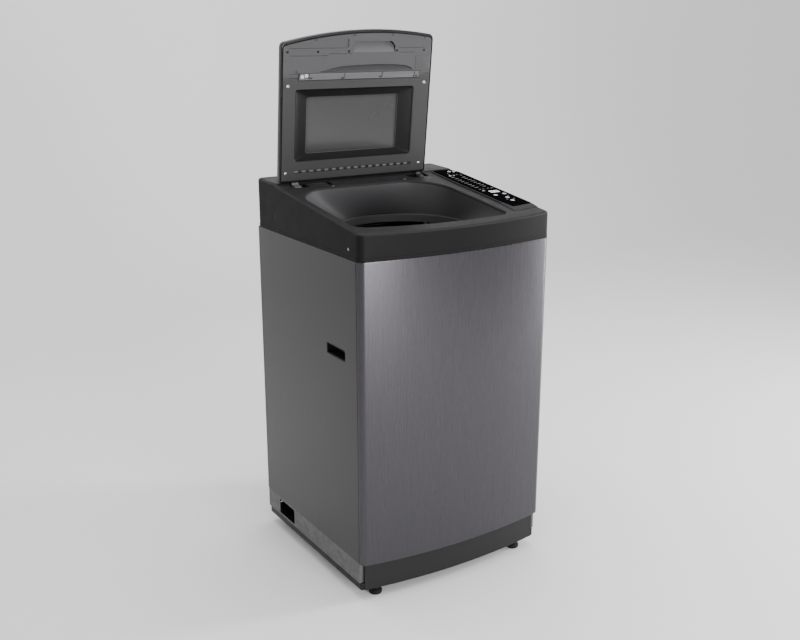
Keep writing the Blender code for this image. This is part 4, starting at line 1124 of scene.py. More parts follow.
def screw(name, point, normal, r, mat, body, head=0.0012, slot="stainless_steel"):
    """Pan head screw with a cross recess, standing on point along normal."""
    nrm = Vector(normal).normalized()
    q = nrm.to_track_quat("Z", "Y").to_matrix().to_4x4()
    b = bmesh.new()
    prof = [(r * 1.0, -0.0003), (r * 1.0, head * 0.30), (r * 0.93, head * 0.62), (r * 0.74, head * 0.86), (r * 0.52, head * 0.97)]
    N = 32
    rows = [[b.verts.new((rr * math.cos(2 * math.pi * i / N), rr * math.sin(2 * math.pi * i / N), h)) for i in range(N)] for rr, h in prof]
    for a, c in zip(rows, rows[1:]):
        strip(b, a, c)
    # cross recess
    w, l = r * 0.13, r * 0.46
    cross = [(l, -w), (l, w), (w, w), (w, l), (-w, l), (-w, w), (-l, w), (-l, -w), (-w, -w), (-w, -l), (w, -l), (w, -w)]
    top = rows[-1]
    inner = [b.verts.new((x, y, head)) for x, y in cross]
    tmp = bmesh.new()
    ring = [(v.co.x, v.co.y) for v in top]
    rg_ = plate(tmp, ring, [cross], lambda x, y: (x, y, head if math.hypot(x, y) < r * 0.515 else head * 0.97))
    for v in inner:
        b.verts.remove(v)
    fl = [[tmp.verts.new((v.co.x * k, v.co.y * k, z)) for v in rg_[1]] for k, z in ((1.0, head - 0.0001), (0.72, head * 0.25))]
    strip(tmp, rg_[1], fl[0])
    strip(tmp, fl[0], fl[1])
    tmp.faces.new(fl[1])
    merge_into(b, tmp)
    b.faces.new([v for v in rows[0]])
    bmesh.ops.remove_doubles(b, verts=b.verts, dist=1e-6)
    bmesh.ops.transform(b, matrix=Matrix.Translation(Vector(point)) @ q, verts=b.verts)
    return finish_mesh(name, b, mat, body, (), slot, smooth=30, shift=False)


LID_N = (0.0, -math.cos(LEAN), -math.sin(LEAN))
for i, (x, t) in enumerate([(-0.2502, 0.2466), (0.1573, 0.2461), (-0.2529, 0.0247), (0.1549, 0.0258)]):
    screw("lid_screw_%d" % i, lid_point(x, t, -0.0004), LID_N, 0.0040, M["screw"], "lid", 0.0012)

# ==================================================================== hinges
def prism_x(name, pts, x0, x1, mat, body, bevel=0.0010, **kw):
    loop = [(p[0], p[1]) for p in pts]
    area = sum(loop[i - 1][0] * loop[i][1] - loop[i][0] * loop[i - 1][1] for i in range(len(loop)))
    if area < 0:
        loop.reverse()
    rings_ = []
    for xx, d in ((x0, bevel), (x0 + bevel * 0.3, bevel * 0.3), (x0 + bevel, 0.0), (x1 - bevel, 0.0), (x1 - bevel * 0.3, bevel * 0.3), (x1, bevel)):
        rings_.append([(xx, HINGE_Y + p[0], HINGE_Z + p[1]) for p in offset_loop(loop, -d)])
    return finish_mesh(name, skin(rings_), mat, body, smooth=38, **kw)


def arm_outline(thick):
    """Gooseneck: from the lid's lower edge round the front of the pin."""
    out, inn = [], []
    R0, R1 = 0.0134, 0.0134 - thick
    for k in range(15):
        a = math.radians(76 + 134 * k / 14)
        out.append((R0 * math.cos(a), R0 * math.sin(a)))
    for k in range(13):
        a = math.radians(210 - 118 * k / 12)
        inn.append((R1 * math.cos(a), R1 * math.sin(a)))
    return out, inn


def arm(side, x0, x1):
    out, inn = arm_outline(0.0052)
    neck_top = [(0.0238, 0.0208), (0.0131, 0.0199), (0.0118, 0.0185), (0.0112, 0.0150)]
    hub = [(0.0070 * math.cos(math.radians(a)), 0.0070 * math.sin(math.radians(a))) for a in range(215, 420, 15)]
    pts = neck_top + out[2:] + hub[0:1] + hub[1:]
    pts += [(0.0078, 0.0075), (0.0150, 0.0128), (0.0155, 0.0165), (0.0176, 0.0190)]
    # painted light and shade: the two mirrored arms are one plastic, the left given a lit, lighter copy and the right a
    # shaded, darker copy
    return prism_x("lid_arm_" + side, pts, x0, x1, M["lid_light"] if side == "left" else M["light_dark"], "lid", 0.0012,
                   replaces=("hinge_arm_" + side,), slot="black_plastic")


arm("left", -0.2348, -0.2152)
arm("right", 0.1502, 0.1638)
# cups that line the wells
for side, (x0, x1) in (("left", (-0.2416, -0.1254)), ("right", (0.1124, 0.1756))):
    y0, y1 = 0.3909, 0.4236
    o = rrect(x0, x1, y0, y1, 0.0030, 4)
    rg_ = [(0.0010, 0.9640), (0.0, 0.9650), (0.0, 0.9899), (0.0006, 0.9905), (0.0014, 0.9905), (0.0020, 0.9899), (0.0020, 0.9680), (0.0040, 0.9660)]
    b = bmesh.new()
    vs = [[b.verts.new((p[0], p[1], z)) for p in offset_loop(o, -d)] for d, z in rg_]
    for a_, c_ in zip(vs, vs[1:]):
        strip(b, a_, c_)
    b.faces.new(vs[0])
    b.faces.new(vs[-1])
    finish_mesh("hinge_well_" + side, b, M["black"], "cabinet", ("hinge_bracket_" + side,), "black_plastic", smooth=35)
finish_mesh("hinge_pin_steel", lathe([(0.0, 0.1144), (0.0024, 0.1144), (0.0028, 0.1149), (0.0028, 0.1732), (0.0024, 0.1737), (0.0, 0.1737)], 32, (HINGE_Y, HINGE_Z), "x", False),
            M["screw"], "cabinet", ("hinge_pin_right",), "stainless_steel", smooth=35)
damper = [(0.0, -0.2392), (0.0024, -0.2392), (0.0028, -0.2387), (0.0028, -0.2016), (0.0048, -0.2014), (0.0052, -0.2008), (0.0052, -0.1962), (0.0070, -0.1958), (0.0075, -0.1952),
          (0.0075, -0.1900), (0.0069, -0.1897), (0.0069, -0.1886), (0.0075, -0.1883), (0.0075, -0.1470), (0.0069, -0.1466), (0.0069, -0.1454), (0.0075, -0.1450), (0.0075, -0.1406), (0.0069, -0.1400), (0.0050, -0.1398), (0.0046, -0.1385), (0.0, -0.1385)]
finish_mesh("hinge_damper", lathe(damper, 40, (HINGE_Y, HINGE_Z), "x", False), M["black"], "cabinet", ("lid_damper",), "black_plastic", smooth=35)
# cover over the damper, level with the deck behind the opening
b = bmesh.new()
cap = rrect(-0.1975, -0.1380, 0.3925, 0.4190, 0.0026, 4)
vs = []
for d, h in ((0.0006, -0.0048), (0.0, -0.0042), (0.0, -0.0006), (0.0004, 0.0002), (0.0012, 0.0006)):
    vs.append([b.verts.new((p[0], p[1], deck(q[1]) + h)) for p, q in zip(offset_loop(cap, -d), cap)])
for a_, c_ in zip(vs, vs[1:]):
    strip(b, a_, c_)
b.faces.new(vs[0])
b.faces.new(vs[-1])
# the cap takes the cover plastic's painted-light copy
finish_mesh("hinge_damper_cap", b, M["cover_light"], "cabinet", (), "cover_plastic", smooth=35)
for i, (x, y) in enumerate([(-0.1330, 0.3815), (0.0900, 0.3850)]):
    screw("deck_screw_%d" % i, (x, y + SY, deck(y) - 0.0003), (0.0, -SLOPE, 1.0), 0.0036, M["screw"], "cabinet", 0.0011)

# ============================================================= control panel
TILT = math.atan(SLOPE)
CY0 = 0.230


def cp(x, ly, h):
    s, c = math.sin(TILT), math.cos(TILT)
    return (x, CY0 + ly * c - h * s, deck_raw(CY0) + ly * s + h * c)


def panel_pad(name, loop, levels, mat, body="cabinet", hole=None, **kw):
    b = bmesh.new()
    vs = [[b.verts.new(cp(p[0], p[1], h)) for p in offset_loop(loop, -d)] for d, h in levels]
    for a_, c_ in zip(vs, vs[1:]):
        strip(b, a_, c_)
    b.faces.new(vs[0])
    b.faces.new(vs[-1])
    return finish_mesh(name, b, mat, body, smooth=35, **kw)


H_BASE = fillet([(0.1900, -0.2010, 0.004), (0.2750, -0.1905, 0.004), (0.2768, 0.1640, 0.006), (0.2660, 0.1935, 0.006), (0.2010, 0.1945, 0.004), (0.1972, 0.0600, 0.3), (0.1980, -0.1300, 0.2)], 0, 6)
H_TOP = fillet([(0.2015, -0.1765, 0.003), (0.2742, -0.1660, 0.003), (0.2762, 0.1630, 0.006), (0.2650, 0.1922, 0.006), (0.2035, 0.1932, 0.004), (0.1996, 0.0600, 0.3), (0.2004, -0.1300, 0.2)], 0, 6)
b = bmesh.new()
vs = []
for src, d, h in ((H_BASE, 0.0010, -0.0006), (H_BASE, 0.0, -0.0002), (H_BASE, 0.0, 0.0008)):
    vs.append([b.verts.new(cp(p[0], p[1], h)) for p in offset_loop(src, -d)])
for k in range(1, 6):
    w = k / 5
    vs.append([b.verts.new(cp(p[0] * (1 - w) + q[0] * w, p[1] * (1 - w) + q[1] * w, 0.0008 + 0.0026 * math.sin(w * math.pi / 2))) for p, q in zip(H_BASE, H_TOP)])
for a_, c_ in zip(vs, vs[1:]):
    strip(b, a_, c_)
b.faces.new(vs[0])
b.faces.new(vs[-1])
# the housing takes the cover plastic's painted-light copy
finish_mesh("panel_housing", b, M["cover_light"], "cabinet", ("control_housing",), "cover_plastic", smooth=30, weighted=True)
OVERLAY = fillet([(0.2068, -0.1745, 0.0020), (0.2735, -0.1640, 0.0020), (0.2752, 0.1615, 0.004), (0.2640, 0.1905, 0.004), (0.2058, 0.1912, 0.0015), (0.2022, 0.0600, 0.3), (0.2028, -0.1100, 0.2)], 0, 6)
BTN = {"programme": (0.2265, -0.0745, 0.0058), "temperature": (0.2585, -0.0700, 0.0058), "spin": (0.2440, -0.1020, 0.0058), "delay": (0.2400, -0.1290, 0.0058),
       "power": (0.2632, 0.1700, 0.0052), "start": (0.2480, 0.1710, 0.0052)}
b = bmesh.new()
circ = {k: [(x + (r + 0.0004) * math.cos(2 * math.pi * i / 40), y + (r + 0.0004) * math.sin(2 * math.pi * i / 40)) for i in range(40)] for k, (x, y, r) in BTN.items()}
disp = rrect(0.2306, 0.2604, -0.0524, -0.0336, 0.0012, 3)
top_loops = list(circ.values()) + [disp]
rg_ = plate(b, offset_loop(OVERLAY, -0.0006), top_loops, lambda x, y: cp(x, y, 0.0047))
prev = rg_[0]
for d, h in ((0.0002, 0.0045), (0.0, 0.0041), (0.0, 0.0033)):
    cur = [b.verts.new(cp(p[0], p[1], h)) for p in offset_loop(OVERLAY, -d)]
    strip(b, prev, cur)
    prev = cur
outer_low = prev
for lp_, r_ in zip(top_loops, rg_[1:]):
    prev = r_
    for d, h in ((0.0, 0.0038), (0.0001, 0.00345)):
        cur = [b.verts.new(cp(p[0], p[1], h)) for p in offset_loop(lp_, d)]
        strip(b, prev, cur)
        prev = cur
    b.faces.new(prev)
b.faces.new(outer_low)
finish_mesh("panel_overlay", b, M["gloss"], "cabinet", ("control_overlay",), "panel_gloss", smooth=30, weighted=True)
b = bmesh.new()
for k, (x, y, r) in BTN.items():
    prof = [(r * 0.90, 0.0043), (r * 0.985, 0.00432), (r, 0.00445), (r, 0.00455), (r - 0.0003, 0.0048), (r - 0.0009, 0.00498), (r * 0.62, 0.00485), (r * 0.30, 0.00475)]
    bb = bmesh.new()
    rows = [[bb.verts.new(cp(x + rr * math.cos(2 * math.pi * i / 40), y + rr * math.sin(2 * math.pi * i / 40), h)) for i in range(40)] for rr, h in prof]
    for a_, c_ in zip(rows, rows[1:]):
        strip(bb, a_, c_)
    bb.faces.new(rows[0])
    bb.faces.new(rows[-1])
    finish_mesh(k + "_key_cap", bb, M["button"], k + "_key", (k + "_button",), "button_plastic", smooth=35)
b.free()
panel_pad("panel_display", rrect(0.2312, 0.2598, -0.0518, -0.0342, 0.0010, 3), ((0.0004, 0.0031), (0.0, 0.0033), (0.0, 0.0042), (0.0004, 0.0045)), M["display"], replaces=("display_window",), slot="display_glass")
# dark segments of a clock on the display, printed marks and indicator rings
for i, (x, w) in enumerate(((0.2362, 0.0034), (0.2414, 0.0034), (0.2490, 0.0034), (0.2542, 0.0034))):
    panel_pad("panel_digit_%d" % i, rrect(x - w / 2, x + w / 2, -0.0472, -0.0388, 0.0006, 2), ((0.0002, 0.0043), (0.0, 0.0044), (0.0, 0.00458), (0.0002, 0.00464)), M["digits"], slot="display_glass")
marks = []
for col, (x, n, y0, y1) in enumerate(((0.2215, 8, 0.004, 0.112), (0.2520, 8, 0.008, 0.106))):
    for i in range(n):
        y = y0 + (y1 - y0) * i / (n - 1)
        pattern = ((0.0, 0.0030), (0.0040, 0.0048), (0.0098, 0.0026)) if (i + col) % 3 == 0 else (((0.0, 0.0052), (0.0062, 0.0036)) if (i + col) % 3 == 1 else ((0.0, 0.0024), (0.0034, 0.0030), (0.0074, 0.0044)))
        for dx, w in pattern:
            marks.append((x - 0.006 + dx, y, w, 0.0026))
for x, y, w in ((0.2160, -0.0150, 0.0070), (0.2280, -0.0150, 0.0050), (0.2440, -0.0120, 0.0062), (0.2560, -0.0120, 0.0078), (0.2200, -0.0290, 0.0060), (0.2300, 0.1280, 0.0070), (0.2240, 0.1400, 0.0050),
                (0.2540, 0.1240, 0.0060), (0.2480, 0.1370, 0.0048), (0.2600, 0.1360, 0.0042), (0.2500, -0.1170, 0.0070), (0.2540, -0.0880, 0.0060), (0.2300, -0.1160, 0.0060), (0.2300, 0.1560, 0.0050), (0.2500, 0.1560, 0.0060)):
    marks.append((x, y, w, 0.0020))
b = bmesh.new()
for x, y, w, h in marks:
    lp_ = rrect(x, x + w, y - h / 2, y + h / 2, 0.0006, 2)
    rr = [[b.verts.new(cp(p[0], p[1], hh)) for p in offset_loop(lp_, -d)] for d, hh in ((0.0, 0.0046), (0.0, 0.00478), (0.0002, 0.00484))]
    for a_, c_ in zip(rr, rr[1:]):
        strip(b, a_, c_)
    b.faces.new(rr[0])
    b.faces.new(rr[-1])
finish_mesh("panel_marks", b, M["marks"], "cabinet", (), "panel_gloss", smooth=35)
for i, (x, y, r, mat) in enumerate(((0.2222, 0.1285, 0.0042, "button"), (0.2190, -0.0300, 0.0034, "marks"), (0.2362, 0.1300, 0.0030, "marks"))):
    prof = [(r, 0.0045), (r, 0.00475), (r - 0.0003, 0.00488), (r - 0.0012, 0.00488), (r - 0.0014, 0.0048)]
    bb = bmesh.new()
    rows = [[bb.verts.new(cp(x + rr * math.cos(2 * math.pi * k / 32), y + rr * math.sin(2 * math.pi * k / 32), h)) for k in range(32)] for rr, h in prof]
    for a_, c_ in zip(rows, rows[1:]):
        strip(bb, a_, c_)
    bb.faces.new(rows[0])
    bb.faces.new(rows[-1])
    finish_mesh("panel_lamp_%d" % i, bb, M[mat], "cabinet", (), "panel_gloss", smooth=35)

# ============================================================ cabinet panels
# front: bowed sheet with rolled vertical edges
b = bmesh.new()
front = []
CR = 0.0180
xs = HALF_W - CR + 0.1857 * CR
for i in range(97):
    x = -xs + 2 * xs * i / 96
    front.append((x, bow(x)))
cyf = bow(xs) + 0.9826 * CR
right_roll = [(HALF_W - CR + CR * math.cos(math.radians(-79.3 + 76.0 * k / 14)), cyf + CR * math.sin(math.radians(-79.3 + 76.0 * k / 14))) for k in range(1, 15)]
left_roll = [(-x, y) for x, y in reversed(right_roll)]
line = left_roll + front + right_roll
n_l = len(line)
back_line = []
for i, p in enumerate(line):
    a_ = Vector(line[max(i - 1, 0)])
    c_ = Vector(line[min(i + 1, n_l - 1)])
    d_ = (c_ - a_).normalized()
    back_line.append((p[0] - d_.y * 0.0012, p[1] + d_.x * 0.0012))
loop_f = line + list(reversed(back_line))


def front_ring(z, d):
    out = []
    for i in range(len(loop_f)):
        p = loop_f[i]
        if d and i < n_l:
            q = back_line[i]
            out.append((p[0] + (q[0] - p[0]) * d, p[1] + (q[1] - p[1]) * d, z))
        else:
            out.append((p[0], p[1], z))
    return out


zs = [(Z_BASE, 0.5), (Z_BASE + 0.0004, 0.15), (Z_BASE + 0.0012, 0.0)] + [(Z_BASE + 0.002 + (Z_SEAM - Z_BASE - 0.004) * k / 24, 0.0) for k in range(25)] + [(Z_SEAM - 0.0012, 0.0), (Z_SEAM - 0.0004, 0.15), (Z_SEAM - 0.0001, 0.5)]
finish_mesh("cabinet_front", skin([front_ring(z, d) for z, d in zs]), M["front"], "cabinet", ("front_panel",), "cabinet_paint", smooth=40, weighted=True)

# sides: flanged sheet with the hand grip's rounded opening
GY0, GY1, GZ0, GZ1 = 0.070, 0.161, 0.619, 0.647
for side, s in (("left", -1), ("right", 1)):
    x = s * HALF_W
    b = bmesh.new()
    hole_o = rrect(GY0 - 0.0002, GY1 + 0.0002, GZ0 - 0.0002, GZ1 + 0.0002, 0.0030, 5)
    y0, y1 = 0.0162, Y_BACK - 0.0026
    outer_l = [(y0, Z_BASE + 0.0006), (y1, Z_BASE + 0.0006), (y1, Z_SEAM - 0.0006), (y0, Z_SEAM - 0.0006)]
    sub = []
    for (ya, za), (yb, zb) in zip(outer_l, outer_l[1:] + outer_l[:1]):
        nseg = 24 if abs(zb - za) > 0.1 else 14
        sub += [(ya + (yb - ya) * k / nseg, za + (zb - za) * k / nseg) for k in range(nseg)]
    lines_ = []
    rg_ = plate(b, sub, [hole_o], lambda y, z: (x, y, z), lines=lines_)
    ri = plate(b, sub, [hole_o], lambda y, z: (x - s * 0.0012, y, z))
    # rolled edge of the grip opening
    ring_a = [b.verts.new((x - s * 0.0003, p[0], p[1])) for p in offset_loop(hole_o, -0.0001)]
    strip(b, rg_[1], ring_a)
    strip(b, ring_a, ri[1])
    nn = len(sub)
    # top and bottom hems, front and back returns with a rolled corner
    idx = {p: i for i, p in enumerate([(round(a_, 6), round(c_, 6)) for a_, c_ in sub])}
    cols_front = [i for i, p in enumerate(sub) if abs(p[0] - y0) < 1e-9]
    cols_back = [i for i, p in enumerate(sub) if abs(p[0] - y1) < 1e-9]

    def key_z(i):
        return sub[i][1]
    cols_front.sort(key=key_z)
    cols_back.sort(key=key_z)

    def returns(cols, pts, inner_pts):
        po, pi = [rg_[0][i] for i in cols], [ri[0][i] for i in cols]
        first_o, first_i = po, pi
        for (dx, yy), (dxi, yyi) in zip(pts, inner_pts):
            co = [b.verts.new((x - s * dx, yy, sub[i][1])) for i in cols]
            ci = [b.verts.new((x - s * dxi, yyi, sub[i][1])) for i in cols]
            for k in range(len(cols) - 1):
                b.faces.new((po[k], po[k + 1], co[k + 1], co[k]))
                b.faces.new((pi[k], pi[k + 1], ci[k + 1], ci[k]))
            for k in (0, len(cols) - 1):
                b.faces.new((po[k], co[k], ci[k], pi[k]))
            po, pi = co, ci
        for k in range(len(cols) - 1):
            b.faces.new((po[k], po[k + 1], pi[k + 1], pi[k]))
    fr = [(0.0022 * (1 - math.cos(math.radians(a))), y0 - 0.0022 * math.sin(math.radians(a))) for a in (30, 60, 90)] + [(0.0120, y0 - 0.0022)]
    fri = [(0.0012 + 0.0010 * (1 - math.cos(math.radians(a))), y0 - 0.0010 * math.sin(math.radians(a))) for a in (30, 60, 90)] + [(0.0120, y0 - 0.0010)]
    returns(cols_front, fr, fri)
    bk = [(0.0026 * (1 - math.cos(math.radians(a))), y1 + 0.0026 * math.sin(math.radians(a))) for a in (30, 60, 90)] + [(0.0178, y1 + 0.0026)]
    bki = [(0.0012 + 0.0014 * (1 - math.cos(math.radians(a))), y1 + 0.0014 * math.sin(math.radians(a))) for a in (30, 60, 90)] + [(0.0178, y1 + 0.0014)]
    returns(cols_back, bk, bki)
    for k in range(nn):
        j = (k + 1) % nn
        zk, zj = sub[k][1], sub[j][1]
        if abs(zk - zj) < 1e-9:
            b.faces.new((rg_[0][k], rg_[0][j], ri[0][j], ri[0][k]))
    finish_mesh("cabinet_side_" + side, b, M["cabinet"], "cabinet", (side + "_side_panel",), "cabinet_paint", smooth=40, weighted=True)
    # moulded pocket behind the opening
    b = bmesh.new()
    o = rrect(GY0 + 0.0006, GY1 - 0.0006, GZ0 + 0.0006, GZ1 - 0.0006, 0.0032, 5)
    lv = [(0.0, 0.0290), (0.0, 0.0010), (0.0004, 0.0006), (0.0012, 0.0004), (0.0019, 0.0008), (0.0021, 0.0020), (0.0026, 0.0240), (0.0040, 0.0268), (0.0070, 0.0278)]
    vs = [[b.verts.new((x - s * dx, p[0], p[1])) for p in offset_loop(o, -d)] for d, dx in lv]
    for a_, c_ in zip(vs, vs[1:]):
        strip(b, a_, c_)
    b.faces.new(vs[0])
    b.faces.new(vs[-1])
    finish_mesh("grip_pocket_" + side, b, M["black"], "cabinet", (side + "_hand_grip",), "black_plastic", smooth=35)
    # side latch slot and screw of the cover
    screw("cover_screw_" + side, (x - s * 0.0010, 0.0490 + SY, 0.8985), (s, 0, 0), 0.0034, M["screw"], "cabinet", 0.0008)
    b = bmesh.new()
    lp_ = rrect(0.4262, 0.4302, 0.9060, 0.9300, 0.0018, 4)
    vs = [[b.verts.new((x - s * dx, p[0], p[1])) for p in offset_loop(lp_, -d)] for d, dx in ((0.0, 0.0012), (0.0, 0.0001), (0.0004, -0.00005 + 0.0001))]
    for a_, c_ in zip(vs, vs[1:]):
        strip(b, a_, c_)
    b.faces.new(vs[0])
    b.faces.new(vs[-1])
    finish_mesh("cover_latch_" + side, b, M["black"], "cabinet", (), "black_plastic", smooth=35)

# ====================================================================== rear
def sheet_box(name, x0, x1, z0, z1, ya, yb, r, mat, replaces, slot, holes=(), beads=()):
    """Pressed rear sheet between y = ya (inner) and yb (outer)."""
    b = bmesh.new()
    lo = rrect(x0, x1, z0, z1, r, 4)
    ro = plate(b, offset_loop(lo, -0.0004), list(holes) + list(beads), lambda u, w: (u, yb, w))
    ri = plate(b, offset_loop(lo, -0.0004), list(holes) + list(beads), lambda u, w: (u, ya, w))
    mid = [b.verts.new((p[0], (ya + yb) / 2, p[1])) for p in lo]
    strip(b, ro[0], mid)
    strip(b, mid, ri[0])
    for i in range(len(holes)):
        strip(b, ro[1 + i], ri[1 + i])
    for i, bd in enumerate(beads):
        for rg2, base, sgn in ((ro[1 + len(holes) + i], yb, -1), (ri[1 + len(holes) + i], ya, -1)):
            prev = rg2
            for d, h in ((0.0010, 0.0006), (0.0028, 0.0016), (0.0040, 0.0018)):
                cur = [b.verts.new((p[0], base + sgn * h, p[1])) for p in offset_loop(bd, -d)]
                strip(b, prev, cur)
                prev = cur
            b.faces.new(prev)
    return finish_mesh(name, b, mat, "cabinet", replaces, slot, smooth=35)


SERVICE = rrect(-0.150, 0.150, 0.230, 0.360, 0.006, 4)
XR = HALF_W - 0.0184
BEADS = [rrect(-0.215, 0.215, 0.420 + 0.105 * k, 0.440 + 0.105 * k, 0.0098, 6) for k in range(4)] + [rrect(-0.215, 0.215, 0.105, 0.125, 0.0098, 6)]
sheet_box("rear_sheet", -XR, XR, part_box("rear_panel")[0].z, Z_SEAM, Y_BACK - 0.0012, Y_BACK, 0.002, M["zinc"], ("rear_panel",), "zinc_steel", [SERVICE], BEADS)
vents = [rrect(-0.110 + 0.0220 * k, -0.098 + 0.0220 * k, 0.262, 0.328, 0.0055, 5) for k in range(11)]
sheet_box("rear_service_plate", -0.165, 0.165, 0.210, 0.380, Y_BACK + 0.0004, Y_BACK + 0.0014, 0.006, M["zinc_b"], ("rear_service_cover",), "zinc_steel", [], vents)
for i, (x, z) in enumerate(((-0.156, 0.219), (0.156, 0.219), (-0.156, 0.371), (0.156, 0.371), (-0.156, 0.295), (0.156, 0.295))):
    screw("service_screw_%d" % i, (x, Y_BACK + 0.0014 + SY, z), (0, 1, 0), 0.0042, M["screw"], "cabinet", 0.0014)
k = 0
for x in (-0.250, 0.250):
    for z in (0.075, 0.30, 0.58, 0.865):
        screw("rear_screw_%d" % k, (x, Y_BACK + SY, z), (0, 1, 0), 0.0042, M["screw"], "cabinet", 0.0014)
        k += 1
gland = [(0.0045, 0.0006), (0.0045, 0.0086), (0.0052, 0.0092), (0.0074, 0.0092), (0.0082, 0.0086), (0.0088, 0.0066), (0.0082, 0.0058), (0.0093, 0.0046), (0.0100, 0.0036), (0.0122, 0.0033), (0.0130, 0.0028), (0.0130, 0.0006)]
finish_mesh("cord_bush", lathe([(r, Y_BACK + h) for r, h in gland], 40, (0.215, 0.190), "y"), M["rubber"], "cabinet", ("cord_gland",), "black_plastic", smooth=35)
Y_SPIGOT = CAD_HI.y - SY
sp = [(0.0, 0.4700), (0.0182, 0.4700), (0.0190, 0.4708), (0.0190, 0.5274), (0.0184, 0.5280), (0.0132, 0.5282)]
for kk in range(7):
    z_ = 0.5300 + 0.0026 * kk
    sp += [(0.0124, z_), (0.0132, z_ + 0.0009), (0.0132, z_ + 0.0013)]
sp += [(0.0124, Y_SPIGOT - 0.0006), (0.0118, Y_SPIGOT), (0.0094, Y_SPIGOT), (0.0090, Y_SPIGOT - 0.0004), (0.0090, 0.5000), (0.0, 0.5000)]
finish_mesh("inlet_spigot", lathe(sp, 48, (0.150, 0.9450), "y", False), M["white"], "cabinet", ("inlet_valve",), "light_plastic", smooth=30)

# ====================================================================== base
XB, YB0, YB1 = 0.2760, 0.0125, 0.5370
b = bmesh.new()
o = rrect(-XB, XB, YB0, YB1, 0.006, 5)
i_ = rrect(-0.2330, 0.2330, 0.0560, 0.4830, 0.012, 5)
lv_o = [(0.0016, 0.0300), (0.0004, 0.0304), (0.0, 0.0314), (0.0, 0.0482), (0.0004, 0.0492), (0.0016, 0.0496)]
lv_i = [(0.0, 0.0486), (0.0, 0.0310)]
outer_r = [[b.verts.new((p[0], p[1], z)) for p in offset_loop(o, -d)] for d, z in lv_o]
inner_r = [[b.verts.new((p[0], p[1], z)) for p in offset_loop(i_, d)] for d, z in ((0.0010, 0.0496), (0.0, 0.0488), (0.0, 0.0308), (0.0010, 0.0300))]
for a_, c_ in zip(outer_r, outer_r[1:]):
    strip(b, a_, c_)
for a_, c_ in zip(inner_r, inner_r[1:]):
    strip(b, a_, c_)
tmp = plate(b, offset_loop(o, -0.0016), [offset_loop(i_, 0.0010)], lambda x, y: (x, y, 0.0496))
tmp2 = plate(b, offset_loop(o, -0.0016), [offset_loop(i_, 0.0010)], lambda x, y: (x, y, 0.0300))
finish_mesh("base_ring", b, M["black"], "cabinet", ("base_frame",), "black_plastic", smooth=35, merge=True)

for side, s in (("left", -1), ("right", 1)):
    b = bmesh.new()
    xo, xi = s * (HALF_W - 0.0012), s * (HALF_W - 0.0028)
    z0_, z1_ = 0.0502, Z_BASE - 0.0006
    lp_ = rrect(0.0162, 0.5364, z0_, z1_, 0.0012, 3)
    hs = [rrect(0.3750, 0.4650, 0.0560, 0.0990, 0.0015, 3)] if s < 0 else []
    ro = plate(b, offset_loop(lp_, -0.0003), hs, lambda y, z: (xo, y, z))
    ri = plate(b, offset_loop(lp_, -0.0003), hs, lambda y, z: (xi, y, z))
    mid = [b.verts.new(((xo + xi) / 2, p[0], p[1])) for p in lp_]
    strip(b, ro[0], mid)
    strip(b, mid, ri[0])
    if hs:
        strip(b, ro[1], ri[1])
    # return at the front
    q = [(xo - s * 0.0004, 0.0163), (xo - s * 0.0004, 0.0177), (s * (HALF_W - 0.0160), 0.0177), (s * (HALF_W - 0.0160), 0.0163)]
    merge_into(b, skin([[(p[0], p[1], z) for p in q] for z in (z0_ + 0.0002, z0_ + 0.0010, z1_ - 0.0010, z1_ - 0.0002)]))
    finish_mesh("skirt_" + side, b, M["zinc"], "cabinet", (side + "_base_skirt",), "zinc_steel", smooth=35)
pipe = [(0.0130, -0.2560), (0.0130, -0.2050), (0.0136, -0.2046), (0.0150, -0.2046), (0.0155, -0.2052), (0.0155, -0.2376), (0.0216, -0.2380), (0.0220, -0.2384), (0.0220, -0.2406), (0.0216, -0.2410),
        (0.0162, -0.2414), (0.0160, -0.2440), (0.0168, -0.2444), (0.0168, -0.2464), (0.0160, -0.2468), (0.0160, -0.2500), (0.0168, -0.2504), (0.0168, -0.2524), (0.0160, -0.2528), (0.0158, -0.2554), (0.0150, -0.2560)]
finish_mesh("drain_stub", lathe([(r, h) for r, h in pipe], 44, (0.420, 0.0800), "x"), M["black"], "cabinet", ("drain_outlet",), "black_plastic", smooth=35)
kick_f, kick_b = [], []
for i in range(57):
    x = -0.2625 + 0.525 * i / 56
    kick_f.append((x, -0.0130 + 0.33 * x * x))
kick_line = [(-0.2672, 0.0112)] + [(-0.2668, 0.0108 - 0.0008)] + kick_f[1:-1] + [(0.2668, 0.0100), (0.2672, 0.0112)]
kb = [(-0.2650, 0.0113)] + [(-0.2646, 0.0118)] + [(p[0] * 0.995, p[1] + 0.0025) for p in kick_f[1:-1]] + [(0.2646, 0.0118), (0.2650, 0.0113)]
kl = kick_line + list(reversed(kb))
kz = [(0.0300, 0.0006), (0.0306, 0.0001), (0.0316, 0.0)] + [(0.034 + 0.069 * k / 8, 0.0) for k in range(9)] + [(Z_BASE - 0.0012, 0.0001), (Z_BASE - 0.0005, 0.0006)]
b = bmesh.new()
vs = []
nk = len(kick_line)
for z, d in kz:
    vs.append([b.verts.new((p[0], p[1] + (d if i < nk else 0.0), z)) for i, p in enumerate(kl)])
for a_, c_ in zip(vs, vs[1:]):
    strip(b, a_, c_)
b.faces.new(vs[0])
b.faces.new(vs[-1])
finish_mesh("kick_panel", b, M["kick"], "cabinet", ("kick_plate",), "black_plastic", smooth=35)

